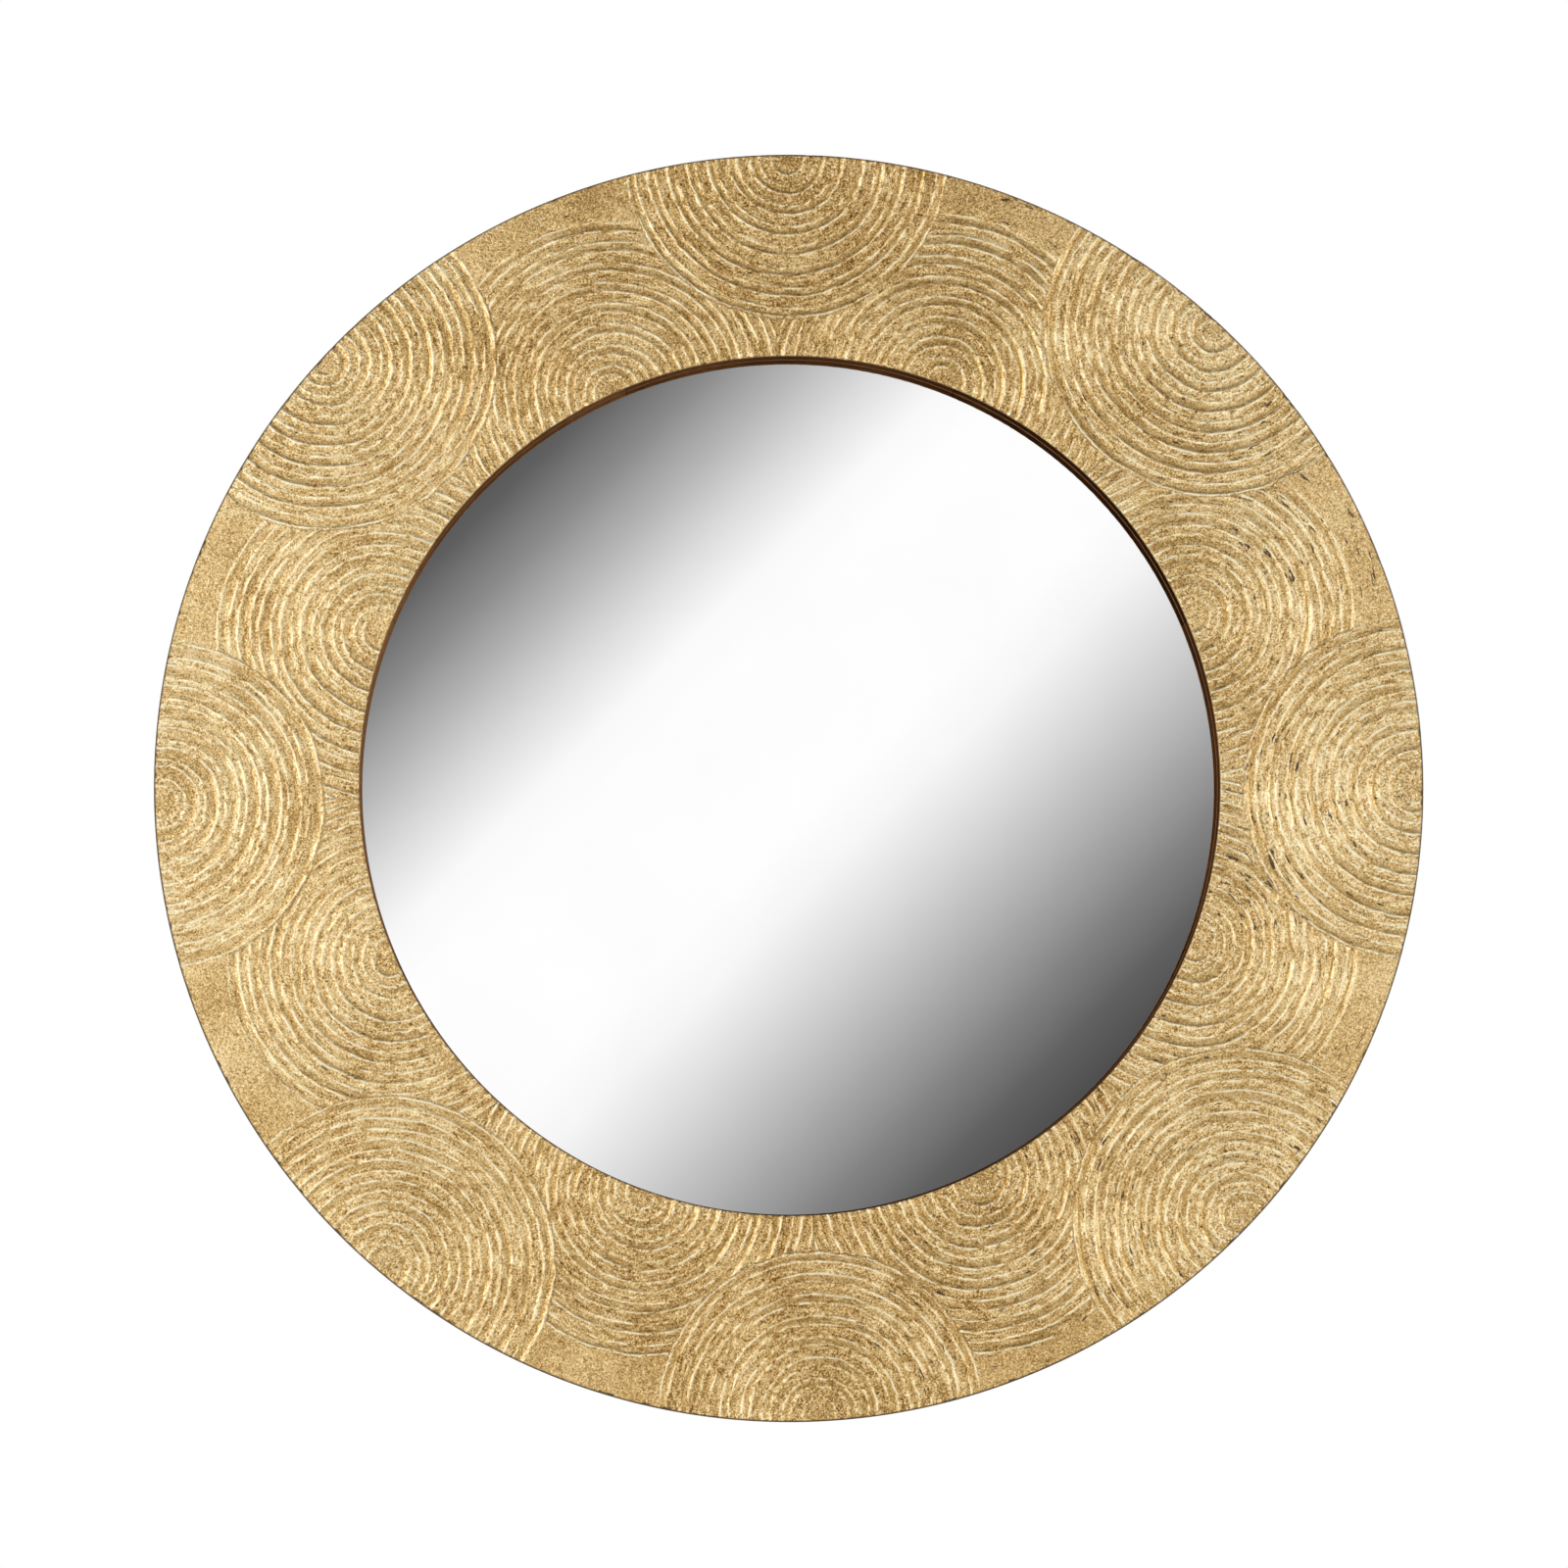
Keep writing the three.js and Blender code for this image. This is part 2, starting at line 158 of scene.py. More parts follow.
@dataclass(frozen=True)
class GildedGesso(Finish):
    """Gold leaf over brown bole on combed gesso, rubbed and toned.

    Gold leaf: a metal whose broken, sandy surface scatters its reflection. The eye gets pale
    crests, partly rubbed and partly a painted highlight, smooth orange-gold flanks where the
    comb pressed, grainy lands that glitter, and brown pits where the leaf missed and the bole
    shows. The sides of the ring are painted paler than its top and bottom, as painted light.
    """

    name: str = "gold_leaf_on_combed_gesso"
    sand_mm: float = 0.85
    grain_mm: float = 0.95
    dust_mm: float = 0.45
    blotch_mm: float = 9.0
    cloud_mm: float = 38.0
    comb_line_mm: float = 1.35
    streak_mm: float = 1.6
    arc_mm: float = 14.0
    grain_depth_mm: float = 0.45
    ridge_mm: float = 0.4
    # Half the ring's width in metres, over which the painted side light grows
    half_width: float = 0.3

    def surface(self, tree: bpy.types.NodeTree) -> bpy.types.NodeSocket:
        """Build the nodes and return the shader's output."""
        place = add(tree, "TexCoord").outputs["Object"]
        crest, flank, bare, combed, aged = (
            add(tree, "Attribute", attribute_name=name).outputs["Fac"]
            for name in ("crest", "flank", "bare", "combed", "aged"))
        grain, dust, blotch, cloud = (
            add(tree, "TexNoise", {"Vector": place, "Scale": 1 / (size * MM), "Detail": detail,
                                   "Roughness": 0.6}).outputs["Fac"]
            for size, detail in ((self.grain_mm, 2.5), (self.dust_mm, 1.0), (self.blotch_mm, 3.0),
                                 (self.cloud_mm, 3.0)))
        sand = add(tree, "TexVoronoi", {"Vector": place, "Scale": 1 / (self.sand_mm * MM)}).outputs["Distance"]
        lines, streak, speckle = self.dragged(tree, combed)

        # The troughs come out smoother and more orange towards the right of the ring than on the left
        level = add(tree, "SeparateXYZ", {0: place}).outputs["X"]
        smoother_to_right = add(tree, "MapRange", {"Value": level, "From Min": -0.2, "From Max": 0.12,
                                          "To Min": 0.55}).outputs[0]
        flank = add(tree, "Math", {0: flank, 1: smoother_to_right}, operation="MULTIPLY").outputs[0]

        # Sand and grain stand on the lands and are wiped off the flanks
        relief = 0.0
        for layer, share in ((grain, 0.9), (dust, 0.75), (sand, -0.5)):
            relief = add(tree, "Math", {0: layer, 1: share, 2: relief}, operation="MULTIPLY_ADD").outputs[0]
        standing = add(tree, "Math", {0: flank, 1: -0.8, 2: 1.0}, operation="MULTIPLY_ADD").outputs[0]
        relief = add(tree, "Math", {0: relief, 1: standing}, operation="MULTIPLY").outputs[0]
        for layer, share in ((streak, 0.7), (lines, 0.04)):
            relief = add(tree, "Math", {0: layer, 1: share, 2: relief}, operation="MULTIPLY_ADD").outputs[0]

        # The thin burrs that the teeth threw up stand on the ridges' crests; their pale tone is partly
        # rubbed gilding and partly a painted highlight
        burr_and_highlight = 0.0
        for name in ("strong_tooth", "weak_tooth"):
            tooth = add(tree, "Attribute", attribute_name=name).outputs["Fac"]
            phase = add(tree, "Math", {0: tooth}, operation="FRACT").outputs[0]
            edge = add(tree, "ValToRGB", {"Fac": phase}, stops=[
                (0.41, srgb("#000000")),
                (0.47, srgb("#ffffff")),
                (0.53, srgb("#ffffff")),
                (0.61, srgb("#000000")),
            ]).outputs["Color"]
            burr_and_highlight = add(tree, "Math", {0: burr_and_highlight, 1: edge}, operation="MAXIMUM").outputs[0]
        broken = add(tree, "MapRange", {"Value": streak, "From Min": -0.16, "From Max": 0.08}).outputs[0]
        burr_and_highlight = add(tree, "Math", {0: burr_and_highlight, 1: broken}, operation="MULTIPLY").outputs[0]
        burr_and_highlight = add(tree, "Math", {0: burr_and_highlight, 1: crest}, operation="MULTIPLY").outputs[0]
        ridge = add(tree, "Bump", {"Height": burr_and_highlight, "Distance": self.ridge_mm * MM, "Strength": 1.0})
        bump = add(tree, "Bump", {"Height": relief, "Distance": self.grain_depth_mm * MM, "Strength": 1.0,
                                  "Normal": ridge.outputs[0]})

        # Tone: pits brown, lands gold, crests pale (partly rubbed gilding, partly painted highlight),
        # and painted light that makes the sides paler than the top and bottom
        side = add(tree, "Math", {0: level}, operation="ABSOLUTE").outputs[0]
        tone = -0.9
        for layer, share in ((grain, 1.42), (dust, 0.95), (sand, -0.35), (crest, 0.14), (burr_and_highlight, 0.75),
                             (cloud, 0.46), (streak, 0.95), (side, 0.19 / self.half_width)):
            tone = add(tree, "Math", {0: layer, 1: share, 2: tone}, operation="MULTIPLY_ADD").outputs[0]
        leaf = add(tree, "ValToRGB", {"Fac": tone}, stops=[
            (0.0, srgb("#5c3c17")),
            (0.25, srgb("#a68045")),
            (0.5, srgb("#d7b57a")),
            (0.75, srgb("#f5e0b0")),
            (1.0, srgb("#fff4d2")),
        ]).outputs["Color"]
        wiped = add(tree, "Math", {0: flank, 1: 0.3}, operation="MULTIPLY").outputs[0]
        pressed = add(tree, "Mix", {0: wiped, 6: leaf, 7: srgb("#d0aa66")}, data_type="RGBA").outputs[2]
        plain = add(tree, "Math", {0: combed, 1: -0.15, 2: 0.15}, operation="MULTIPLY_ADD").outputs[0]
        gold = add(tree, "Mix", {0: plain, 6: pressed, 7: srgb("#e6c488")}, data_type="RGBA").outputs[2]

        # Brown specks along the comb's lines, thicker in some places, and the worn arris
        density = add(tree, "Math", {0: aged, 1: 0.1, 2: speckle}, operation="MULTIPLY_ADD").outputs[0]
        density = add(tree, "Math", {0: blotch, 1: 0.2, 2: density}, operation="MULTIPLY_ADD").outputs[0]
        speck = add(tree, "MapRange", {"Value": density, "From Min": 0.785, "From Max": 0.825}).outputs[0]
        lost = add(tree, "Math", {0: speck, 1: bare}, operation="MAXIMUM").outputs[0]
        colour = add(tree, "Mix", {0: lost, 6: gold, 7: srgb("#514030")}, data_type="RGBA").outputs[2]
        metal = add(tree, "Math", {0: lost, 1: -0.8, 2: 0.86}, operation="MULTIPLY_ADD").outputs[0]
        rough = add(tree, "Math", {0: blotch, 1: 0.12, 2: 0.33}, operation="MULTIPLY_ADD").outputs[0]
        rough = add(tree, "Math", {0: lost, 1: 0.4, 2: rough}, operation="MULTIPLY_ADD").outputs[0]
        return add(tree, "BsdfPrincipled", {
            "Base Color": colour,
            "Metallic": metal,
            "Roughness": rough,
            "Specular IOR Level": 0.08,
            "Normal": bump.outputs[0],
        }).outputs[0]

    def dragged(self, tree: bpy.types.NodeTree, combed: bpy.types.NodeSocket) -> tuple[bpy.types.NodeSocket, ...]:
        """Build what the comb's teeth dragged along its arc.

        Args:
            tree: Node tree that gets the nodes.
            combed: 1 where the comb went and 0 on the plain patches.

        Returns:
            Fine even lines, streaks round 0, and the noise that the specks are cut from.
        """
        offset = add(tree, "Attribute", attribute_name="fan_offset").outputs["Vector"]
        span = add(tree, "VectorMath", {0: offset}, operation="LENGTH").outputs["Value"]
        outward = add(tree, "CombineXYZ", {"Y": span}).outputs[0]
        unit = add(tree, "VectorMath", {0: offset}, operation="NORMALIZE").outputs[0]
        arc = self.arc_mm * MM
        along = add(tree, "VectorMath", {0: unit, 1: (arc, 0.0, arc), 2: outward},
                    operation="MULTIPLY_ADD").outputs[0]
        sway, streak, speckle = (
            add(tree, "TexNoise", {"Vector": vector, "Scale": 1 / (size * MM), "Detail": detail,
                                   "Roughness": rough}).outputs["Fac"]
            for vector, size, detail, rough in ((offset, 7.0, 2.0, 0.55), (along, self.streak_mm, 2.0, 0.6),
                                                (along, 2.0, 4.0, 0.7)))
        phase = add(tree, "Math", {0: span, 1: math.tau / (self.comb_line_mm * MM)}, operation="MULTIPLY").outputs[0]
        phase = add(tree, "Math", {0: sway, 1: 9.0, 2: phase}, operation="MULTIPLY_ADD").outputs[0]
        wave = add(tree, "Math", {0: phase}, operation="SINE").outputs[0]
        lines = add(tree, "Math", {0: wave, 1: combed}, operation="MULTIPLY").outputs[0]
        evened = add(tree, "Math", {0: streak, 1: 0.5}, operation="SUBTRACT").outputs[0]
        streaks = add(tree, "Math", {0: evened, 1: combed}, operation="MULTIPLY").outputs[0]
        return lines, streaks, speckle


@dataclass(frozen=True)
class StainedWood(Finish):
    """Turned hardwood ring of eight glued segments, stained dark brown and waxed.

    Beech, stained: the eye gets straight grain along each segment, end joints between them,
    fine lines left by the lathe and a low satin sheen. The opening's wall carries painted light
    and shade: paler on the left, nearly black on the right, and a painted highlight along its
    foot at the glass.
    """

    name: str = "stained_beech_waxed"
    segments: int = 8
    grain_mm: float = 1.1
    figure_mm: float = 14.0
    lathe_line_mm: float = 1.3
    opening_mm: float = 206.0
    seat_mm: float = 14.6
    sheen: float = 0.3

    def surface(self, tree: bpy.types.NodeTree) -> bpy.types.NodeSocket:
        """Build the nodes and return the shader's output."""
        place = add(tree, "TexCoord").outputs["Object"]
        parts = add(tree, "SeparateXYZ", {0: place}).outputs
        share = math.tau / self.segments
        turn = add(tree, "Math", {0: parts["X"], 1: parts["Z"]}, operation="ARCTAN2").outputs[0]
        part = add(tree, "Math", {0: turn, 1: share}, operation="DIVIDE").outputs[0]
        nearest = add(tree, "Math", {0: part}, operation="ROUND").outputs[0]
        number = add(tree, "Math", {0: nearest, 1: self.segments}, operation="FLOORED_MODULO").outputs[0]

        # Each segment's grain runs level when the segment is turned to the top
        back = add(tree, "Math", {0: number, 1: -share}, operation="MULTIPLY").outputs[0]
        level = add(tree, "VectorRotate", {"Vector": place, "Angle": back}, rotation_type="Y_AXIS").outputs[0]
        own = add(tree, "VectorMath", {0: (7.3, 0.0, 1.7), "Scale": number}, operation="SCALE").outputs[0]
        board = add(tree, "VectorMath", {0: level, 1: own}, operation="ADD").outputs[0]
        stretched = add(tree, "Mapping", {"Vector": board, "Scale": (0.06, 1.0, 1.0)}).outputs[0]
        grain, figure = (
            add(tree, "TexNoise", {"Vector": stretched, "Scale": 1 / (size * MM), "Detail": detail,
                                   "Roughness": 0.6, "Distortion": 0.3}).outputs["Fac"]
            for size, detail in ((self.grain_mm, 4.0), (self.figure_mm, 2.0)))
        depth = add(tree, "CombineXYZ", {"X": parts["Y"]}).outputs[0]
        lathe = add(tree, "TexNoise", {"Vector": depth, "Scale": 1 / (self.lathe_line_mm * MM),
                                       "Detail": 1.0}).outputs["Fac"]
        tint = add(tree, "TexWhiteNoise", {"W": number}, noise_dimensions="1D").outputs["Value"]

        # Painted light and shade on the wall of the opening: paler on the left, nearly black on the right
        side = add(tree, "MapRange", {"Value": parts["X"], "From Min": -0.2, "From Max": 0.2,
                                      "To Min": 0.16, "To Max": -0.22}).outputs[0]
        radius = add(tree, "VectorMath", {0: place}, operation="LENGTH").outputs["Value"]
        wall = add(tree, "Math", {0: radius, 1: self.opening_mm * MM}, operation="LESS_THAN").outputs[0]
        tone = add(tree, "Math", {0: side, 1: wall, 2: -0.36}, operation="MULTIPLY_ADD").outputs[0]
        for layer, weight in ((figure, 0.5), (grain, 0.5), (tint, 0.16), (lathe, 0.55)):
            tone = add(tree, "Math", {0: layer, 1: weight, 2: tone}, operation="MULTIPLY_ADD").outputs[0]
        stain = add(tree, "ValToRGB", {"Fac": tone}, stops=[
            (0.15, srgb("#1d0d04")),
            (0.33, srgb("#351e0d")),
            (0.5, srgb("#4f3018")),
            (0.72, srgb("#7a5231")),
        ]).outputs["Color"]
        away = add(tree, "Math", {0: part, 1: nearest}, operation="SUBTRACT").outputs[0]
        beside = add(tree, "Math", {0: away}, operation="ABSOLUTE").outputs[0]
        # Painted highlight: a pale line along the foot of the opening's wall, where it meets the glass
        foot = add(tree, "MapRange", {"Value": parts["Y"], "From Min": -self.seat_mm * MM - 1.4 * MM,
                                      "From Max": -self.seat_mm * MM - 0.8 * MM, "To Max": 0.75}).outputs[0]
        foot = add(tree, "Math", {0: foot, 1: wall}, operation="MULTIPLY").outputs[0]
        stain = add(tree, "Mix", {0: foot, 6: stain, 7: srgb("#8e6a4b")}, data_type="RGBA").outputs[2]
        joint = add(tree, "MapRange", {"Value": beside, "From Min": 0.4978, "From Max": 0.4994,
                                       "To Max": 0.75}).outputs[0]
        colour = add(tree, "Mix", {0: joint, 6: stain, 7: srgb("#190d05")}, data_type="RGBA").outputs[2]
        relief = add(tree, "Math", {0: lathe, 1: 0.7, 2: grain}, operation="MULTIPLY_ADD").outputs[0]
        bump = add(tree, "Bump", {"Height": relief, "Distance": 0.12 * MM, "Strength": 0.5})
        rough = add(tree, "Math", {0: grain, 1: 0.2, 2: 0.42}, operation="MULTIPLY_ADD").outputs[0]
        return add(tree, "BsdfPrincipled", {
            "Base Color": colour,
            "Roughness": rough,
            "Specular IOR Level": self.sheen,
            "Normal": bump.outputs[0],
        }).outputs[0]


@dataclass(frozen=True)
class SilveredGlass(Finish):
    """Float glass, silvered on the back: the eye gets a clear reflection, a little dimmed."""

    name: str = "silvered_float_glass"
    smear_mm: float = 60.0

    def surface(self, tree: bpy.types.NodeTree) -> bpy.types.NodeSocket:
        """Build the nodes and return the shader's output."""
        place = add(tree, "TexCoord").outputs["Object"]
        smear = add(tree, "TexNoise", {"Vector": place, "Scale": 1 / (self.smear_mm * MM), "Detail": 5.0})
        rough = add(tree, "MapRange", {"Value": smear.outputs["Fac"], "To Min": 0.004, "To Max": 0.016})
        tint = add(tree, "ValToRGB", {"Fac": smear.outputs["Fac"]}, stops=[
            (0.2, srgb("#f6f6f6")),
            (0.8, srgb("#fafafa")),
        ])
        return add(tree, "BsdfPrincipled", {
            "Base Color": tint.outputs["Color"],
            "Metallic": 1.0,
            "Roughness": rough.outputs[0],
        }).outputs[0]


@dataclass(frozen=True)
class Hardboard(Finish):
    """Pressed wood fibre: the eye gets a dull brown sheet with short dark and light fibres."""

    name: str = "hardboard_pressed_fibre"
    fibre_mm: float = 1.4

    def surface(self, tree: bpy.types.NodeTree) -> bpy.types.NodeSocket:
        """Build the nodes and return the shader's output."""
        place = add(tree, "TexCoord").outputs["Object"]
        fibre = add(tree, "TexNoise", {"Vector": place, "Scale": 1 / (self.fibre_mm * MM), "Detail": 5.0,
                                       "Roughness": 0.7, "Distortion": 1.6}).outputs["Fac"]
        cloud = add(tree, "TexNoise", {"Vector": place, "Scale": 1 / (45 * MM), "Detail": 3.0}).outputs["Fac"]
        tone = add(tree, "Math", {0: cloud, 1: 0.35, 2: fibre}, operation="MULTIPLY_ADD").outputs[0]
        colour = add(tree, "ValToRGB", {"Fac": tone}, stops=[
            (0.42, srgb("#4c3120")),
            (0.66, srgb("#6d4a30")),
            (0.86, srgb("#8b6747")),
        ]).outputs["Color"]
        bump = add(tree, "Bump", {"Height": fibre, "Distance": 0.15 * MM, "Strength": 0.5})
        return add(tree, "BsdfPrincipled", {
            "Base Color": colour,
            "Roughness": 0.78,
            "Normal": bump.outputs[0],
        }).outputs[0]


@dataclass(frozen=True)
class ZincPlatedSteel(Finish):
    """Zinc-plated steel: the eye gets a bright grey metal with a cloudy, slightly blue skin."""

    name: str = "zinc_plated_steel"
    cloud_mm: float = 3.5

    def surface(self, tree: bpy.types.NodeTree) -> bpy.types.NodeSocket:
        """Build the nodes and return the shader's output."""
        place = add(tree, "TexCoord").outputs["Object"]
        cloud = add(tree, "TexNoise", {"Vector": place, "Scale": 1 / (self.cloud_mm * MM), "Detail": 4.0})
        scratch = add(tree, "TexNoise", {
            "Vector": add(tree, "Mapping", {"Vector": place, "Scale": (1.0, 1.0, 0.08)}).outputs[0],
            "Scale": 1 / (0.3 * MM),
            "Detail": 2.0,
        })
        colour = add(tree, "ValToRGB", {"Fac": cloud.outputs["Fac"]}, stops=[
            (0.3, srgb("#a3a5a6")),
            (0.55, srgb("#bdbeba")),
            (0.8, srgb("#c9c7bd")),
        ]).outputs["Color"]
        rough = add(tree, "MapRange", {"Value": cloud.outputs["Fac"], "To Min": 0.24, "To Max": 0.46})
        bump = add(tree, "Bump", {"Height": scratch.outputs["Fac"], "Distance": 0.02 * MM, "Strength": 0.5})
        return add(tree, "BsdfPrincipled", {
            "Base Color": colour,
            "Metallic": 1.0,
            "Roughness": rough.outputs[0],
            "Normal": bump.outputs[0],
        }).outputs[0]


@dataclass(frozen=True)
class MouldedRubber(Finish):
    """Moulded black rubber: the eye gets a dull, nearly black surface with a chalky bloom."""

    name: str = "moulded_black_rubber"

    def surface(self, tree: bpy.types.NodeTree) -> bpy.types.NodeSocket:
        """Build the nodes and return the shader's output."""
        place = add(tree, "TexCoord").outputs["Object"]
        bloom = add(tree, "TexNoise", {"Vector": place, "Scale": 1 / (4 * MM), "Detail": 5.0}).outputs["Fac"]
        pore = add(tree, "TexNoise", {"Vector": place, "Scale": 1 / (0.4 * MM), "Detail": 1.0}).outputs["Fac"]
        colour = add(tree, "ValToRGB", {"Fac": bloom}, stops=[
            (0.35, srgb("#191817")),
            (0.75, srgb("#2e2c2a")),
        ]).outputs["Color"]
        bump = add(tree, "Bump", {"Height": pore, "Distance": 0.05 * MM, "Strength": 0.6})
        return add(tree, "BsdfPrincipled", {
            "Base Color": colour,
            "Roughness": 0.72,
            "Normal": bump.outputs[0],
        }).outputs[0]


@dataclass(frozen=True)
class WoolFelt(Finish):
    """Pressed grey wool felt: the eye gets mottled fibres with a soft, dull edge."""

    name: str = "grey_wool_felt"

    def surface(self, tree: bpy.types.NodeTree) -> bpy.types.NodeSocket:
        """Build the nodes and return the shader's output."""
        place = add(tree, "TexCoord").outputs["Object"]
        fibre = add(tree, "TexNoise", {"Vector": place, "Scale": 1 / (0.8 * MM), "Detail": 6.0,
                                       "Roughness": 0.75, "Distortion": 2.5}).outputs["Fac"]
        colour = add(tree, "ValToRGB", {"Fac": fibre}, stops=[
            (0.3, srgb("#56534f")),
            (0.7, srgb("#8a8782")),
        ]).outputs["Color"]
        bump = add(tree, "Bump", {"Height": fibre, "Distance": 0.3 * MM, "Strength": 0.8})
        return add(tree, "BsdfPrincipled", {
            "Base Color": colour,
            "Roughness": 0.95,
            "Sheen Weight": 0.4,
            "Normal": bump.outputs[0],
        }).outputs[0]


# ---------------------------------------------------------------- meshes: helpers


def turned(profile: Profile, segments: int) -> bmesh.types.BMesh:
    """Spin a profile once round the mirror's axis.

    Args:
        profile: Radius and distance from the wall of each corner, in millimetres. The first
            and last corners meet, or both lie on the axis.
        segments: Number of steps round the axis.

    Returns:
        The closed body of revolution, in metres.
    """
    body = bmesh.new()
    corners = [body.verts.new((radius * MM, -distance * MM, 0)) for radius, distance in profile]
    edges = [body.edges.new(pair) for pair in zip(corners, corners[1:])]
    if profile[0][0] > 0:
        edges.append(body.edges.new((corners[-1], corners[0])))
    bmesh.ops.spin(body, geom=corners + edges, cent=(0, 0, 0), axis=(0, 1, 0), angle=2 * math.pi,
                   steps=segments, use_merge=True)
    return tidied(body)


def tidied(body: bmesh.types.BMesh) -> bmesh.types.BMesh:
    """Merge doubles, turn every face outward and return the same body."""
    bmesh.ops.remove_doubles(body, verts=body.verts, dist=1e-7)
    bmesh.ops.recalc_face_normals(body, faces=body.faces)
    return body


def rounded(body: bmesh.types.BMesh, width_mm: float, segments: int, above: float = 30.0) -> bmesh.types.BMesh:
    """Bevel the edges that are sharper than an angle.

    Args:
        body: Body to round.
        width_mm: Width of the bevel in millimetres.
        segments: Steps across the bevel.
        above: Angle in degrees over which an edge counts as sharp.

    Returns:
        The same body.
    """
    sharp = [edge for edge in body.edges if edge.is_manifold and math.degrees(edge.calc_face_angle()) > above]
    bmesh.ops.bevel(body, geom=sharp, affect="EDGES", offset=width_mm * MM, offset_type="OFFSET",
                    segments=segments, profile=0.5, material=-1, clamp_overlap=True)
    return body


def clock_point(angle: float, radius: float) -> tuple[float, float]:
    """Point on the face.

    Args:
        angle: Clock angle in degrees, clockwise from the top as seen from the front.
        radius: Distance from the axis.

    Returns:
        x and z in the radius's unit.
    """
    turn = math.radians(angle)
    return radius * math.sin(turn), radius * math.cos(turn)


def piece(
    name: str,
    body: bmesh.types.BMesh,
    finish: Finish,
    nodes: tuple[str, ...] = (),
    rides_on: str = "root",
    crease: float = 32.0,
) -> bpy.types.Object:
    """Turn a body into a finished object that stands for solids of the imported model.

    Args:
        name: Name of the new object.
        body: Mesh in metres, which is freed.
        finish: Surface finish.
        nodes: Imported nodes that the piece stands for.
        rides_on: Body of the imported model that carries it.
        crease: Angle in degrees over which an edge is shaded sharp.

    Returns:
        The new object.
    """
    mesh = bpy.data.meshes.new(name)
    for face in body.faces:
        face.smooth = True
    body.to_mesh(mesh)
    body.free()
    mesh.set_sharp_from_angle(angle=math.radians(crease))
    mesh.materials.append(finish.material())
    made = bpy.data.objects.new(name, mesh)
    bpy.context.scene.collection.objects.link(made)
    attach(made, rides_on)
    if nodes:
        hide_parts(*nodes)
    return made


@dataclass(frozen=True)
class Ripple:
    """Smooth seeded noise over a plane, from -1 to 1."""

    seed: int
    table_size: int = 512

    def at(self, across: np.ndarray, along: np.ndarray, cell: float) -> np.ndarray:
        """Sample the noise.

        Args:
            across: First coordinate of each point.
            along: Second coordinate of each point.
            cell: Size of a lump, in the unit of the coordinates.

        Returns:
            One value for each point.
        """
        table = np.random.default_rng(self.seed).random((self.table_size, self.table_size)) * 2 - 1
        i, j = np.floor(across / cell).astype(int), np.floor(along / cell).astype(int)
        s, t = across / cell - i, along / cell - j
        s, t = s * s * (3 - 2 * s), t * t * (3 - 2 * t)
        i, j, n = i % self.table_size, j % self.table_size, self.table_size
        near = table[i, j] * (1 - s) + table[(i + 1) % n, j] * s
        far = table[i, (j + 1) % n] * (1 - s) + table[(i + 1) % n, (j + 1) % n] * s
        return near * (1 - t) + far * t


def blend_up(value: np.ndarray) -> np.ndarray:
    """Smooth step from 0 below 0 to 1 above 1."""
    held = np.clip(value, 0, 1)
    return held * held * (3 - 2 * held)


# ---------------------------------------------------------------- gilded face


@dataclass(frozen=True)
class Fan:
    """One combed fan: its centre's clock angle and radius, and where its comb lines lie.

    The last strong line lies `reach` from the centre, and a weak line follows each strong one
    `gap` further out.
    """

    angle: float
    radius: float
    reach: float
    gap: float


@dataclass(frozen=True)
class FanRow:
    """A row of combed fans whose centres lie near one circle."""

    fans: tuple[Fan, ...]
    seed: int
    hidden_turn: float = 0.0

    def nearest(self, x: np.ndarray, z: np.ndarray) -> dict[str, np.ndarray]:
        """Find each point's nearest fan.

        Args:
            x: First coordinate of each point, in millimetres.
            z: Second coordinate of each point, in millimetres.

        Returns:
            The offset from that fan's centre, the distance as the hand drew it, the fan's
            reach and the gap between its lines.
        """
        centres = np.array([clock_point(fan.angle, fan.radius) for fan in self.fans])
        lines = np.array([(fan.reach, fan.gap) for fan in self.fans])
        span = np.hypot(x[None] - centres[:, :1], z[None] - centres[:, 1:])
        fan = span.argmin(0)
        dx, dz = x - centres[fan, 0], z - centres[fan, 1]
        distance = np.hypot(dx, dz)
        away = np.maximum(distance, 1e-6)
        sway = Ripple(self.seed).at(dx / away + 10 * fan, dz / away, 0.55)
        shake = Ripple(self.seed + 1).at(dx / away + 10 * fan, dz / away, 0.12)
        drift = Ripple(self.seed + 2).at(x + 900, z + 900, 14.0)
        tremor = Ripple(self.seed + 3).at(x + 900, z + 900, 4.0)
        fade = blend_up(distance / 20)
        drawn = distance + (sway * 0.6 + shake * 0.16 + drift * 0.4 + tremor * 0.16) * fade
        drawn += self.swirl(fan, dx, dz, centres) * (1 - blend_up((distance - 12) / 16))
        return {"dx": dx, "dz": dz, "distance": drawn, "reach": lines[fan, 0], "gap": lines[fan, 1]}


    def swirl(self, fan: np.ndarray, dx: np.ndarray, dz: np.ndarray, centres: np.ndarray) -> np.ndarray:
        """Draw the lines round a fan's centre as part of a spiral.

        The spiral's ends meet in the direction of `away`, which is off the ring.

        Args:
            fan: Number of each point's fan.
            dx: First part of each point's offset from its fan's centre, in millimetres.
            dz: Second part of that offset.
            centres: Centre of each fan, in millimetres.

        Returns:
            What is added to each point's distance, in millimetres.
        """
        away = np.arctan2(centres[fan, 0], centres[fan, 1]) + self.hidden_turn
        turn = (np.arctan2(dx, dz) - away) % (2 * math.pi) - math.pi
        growth = np.random.default_rng(self.seed + 4).uniform(-5.0, 5.0, len(self.fans))
        return growth[fan] * turn / math.pi


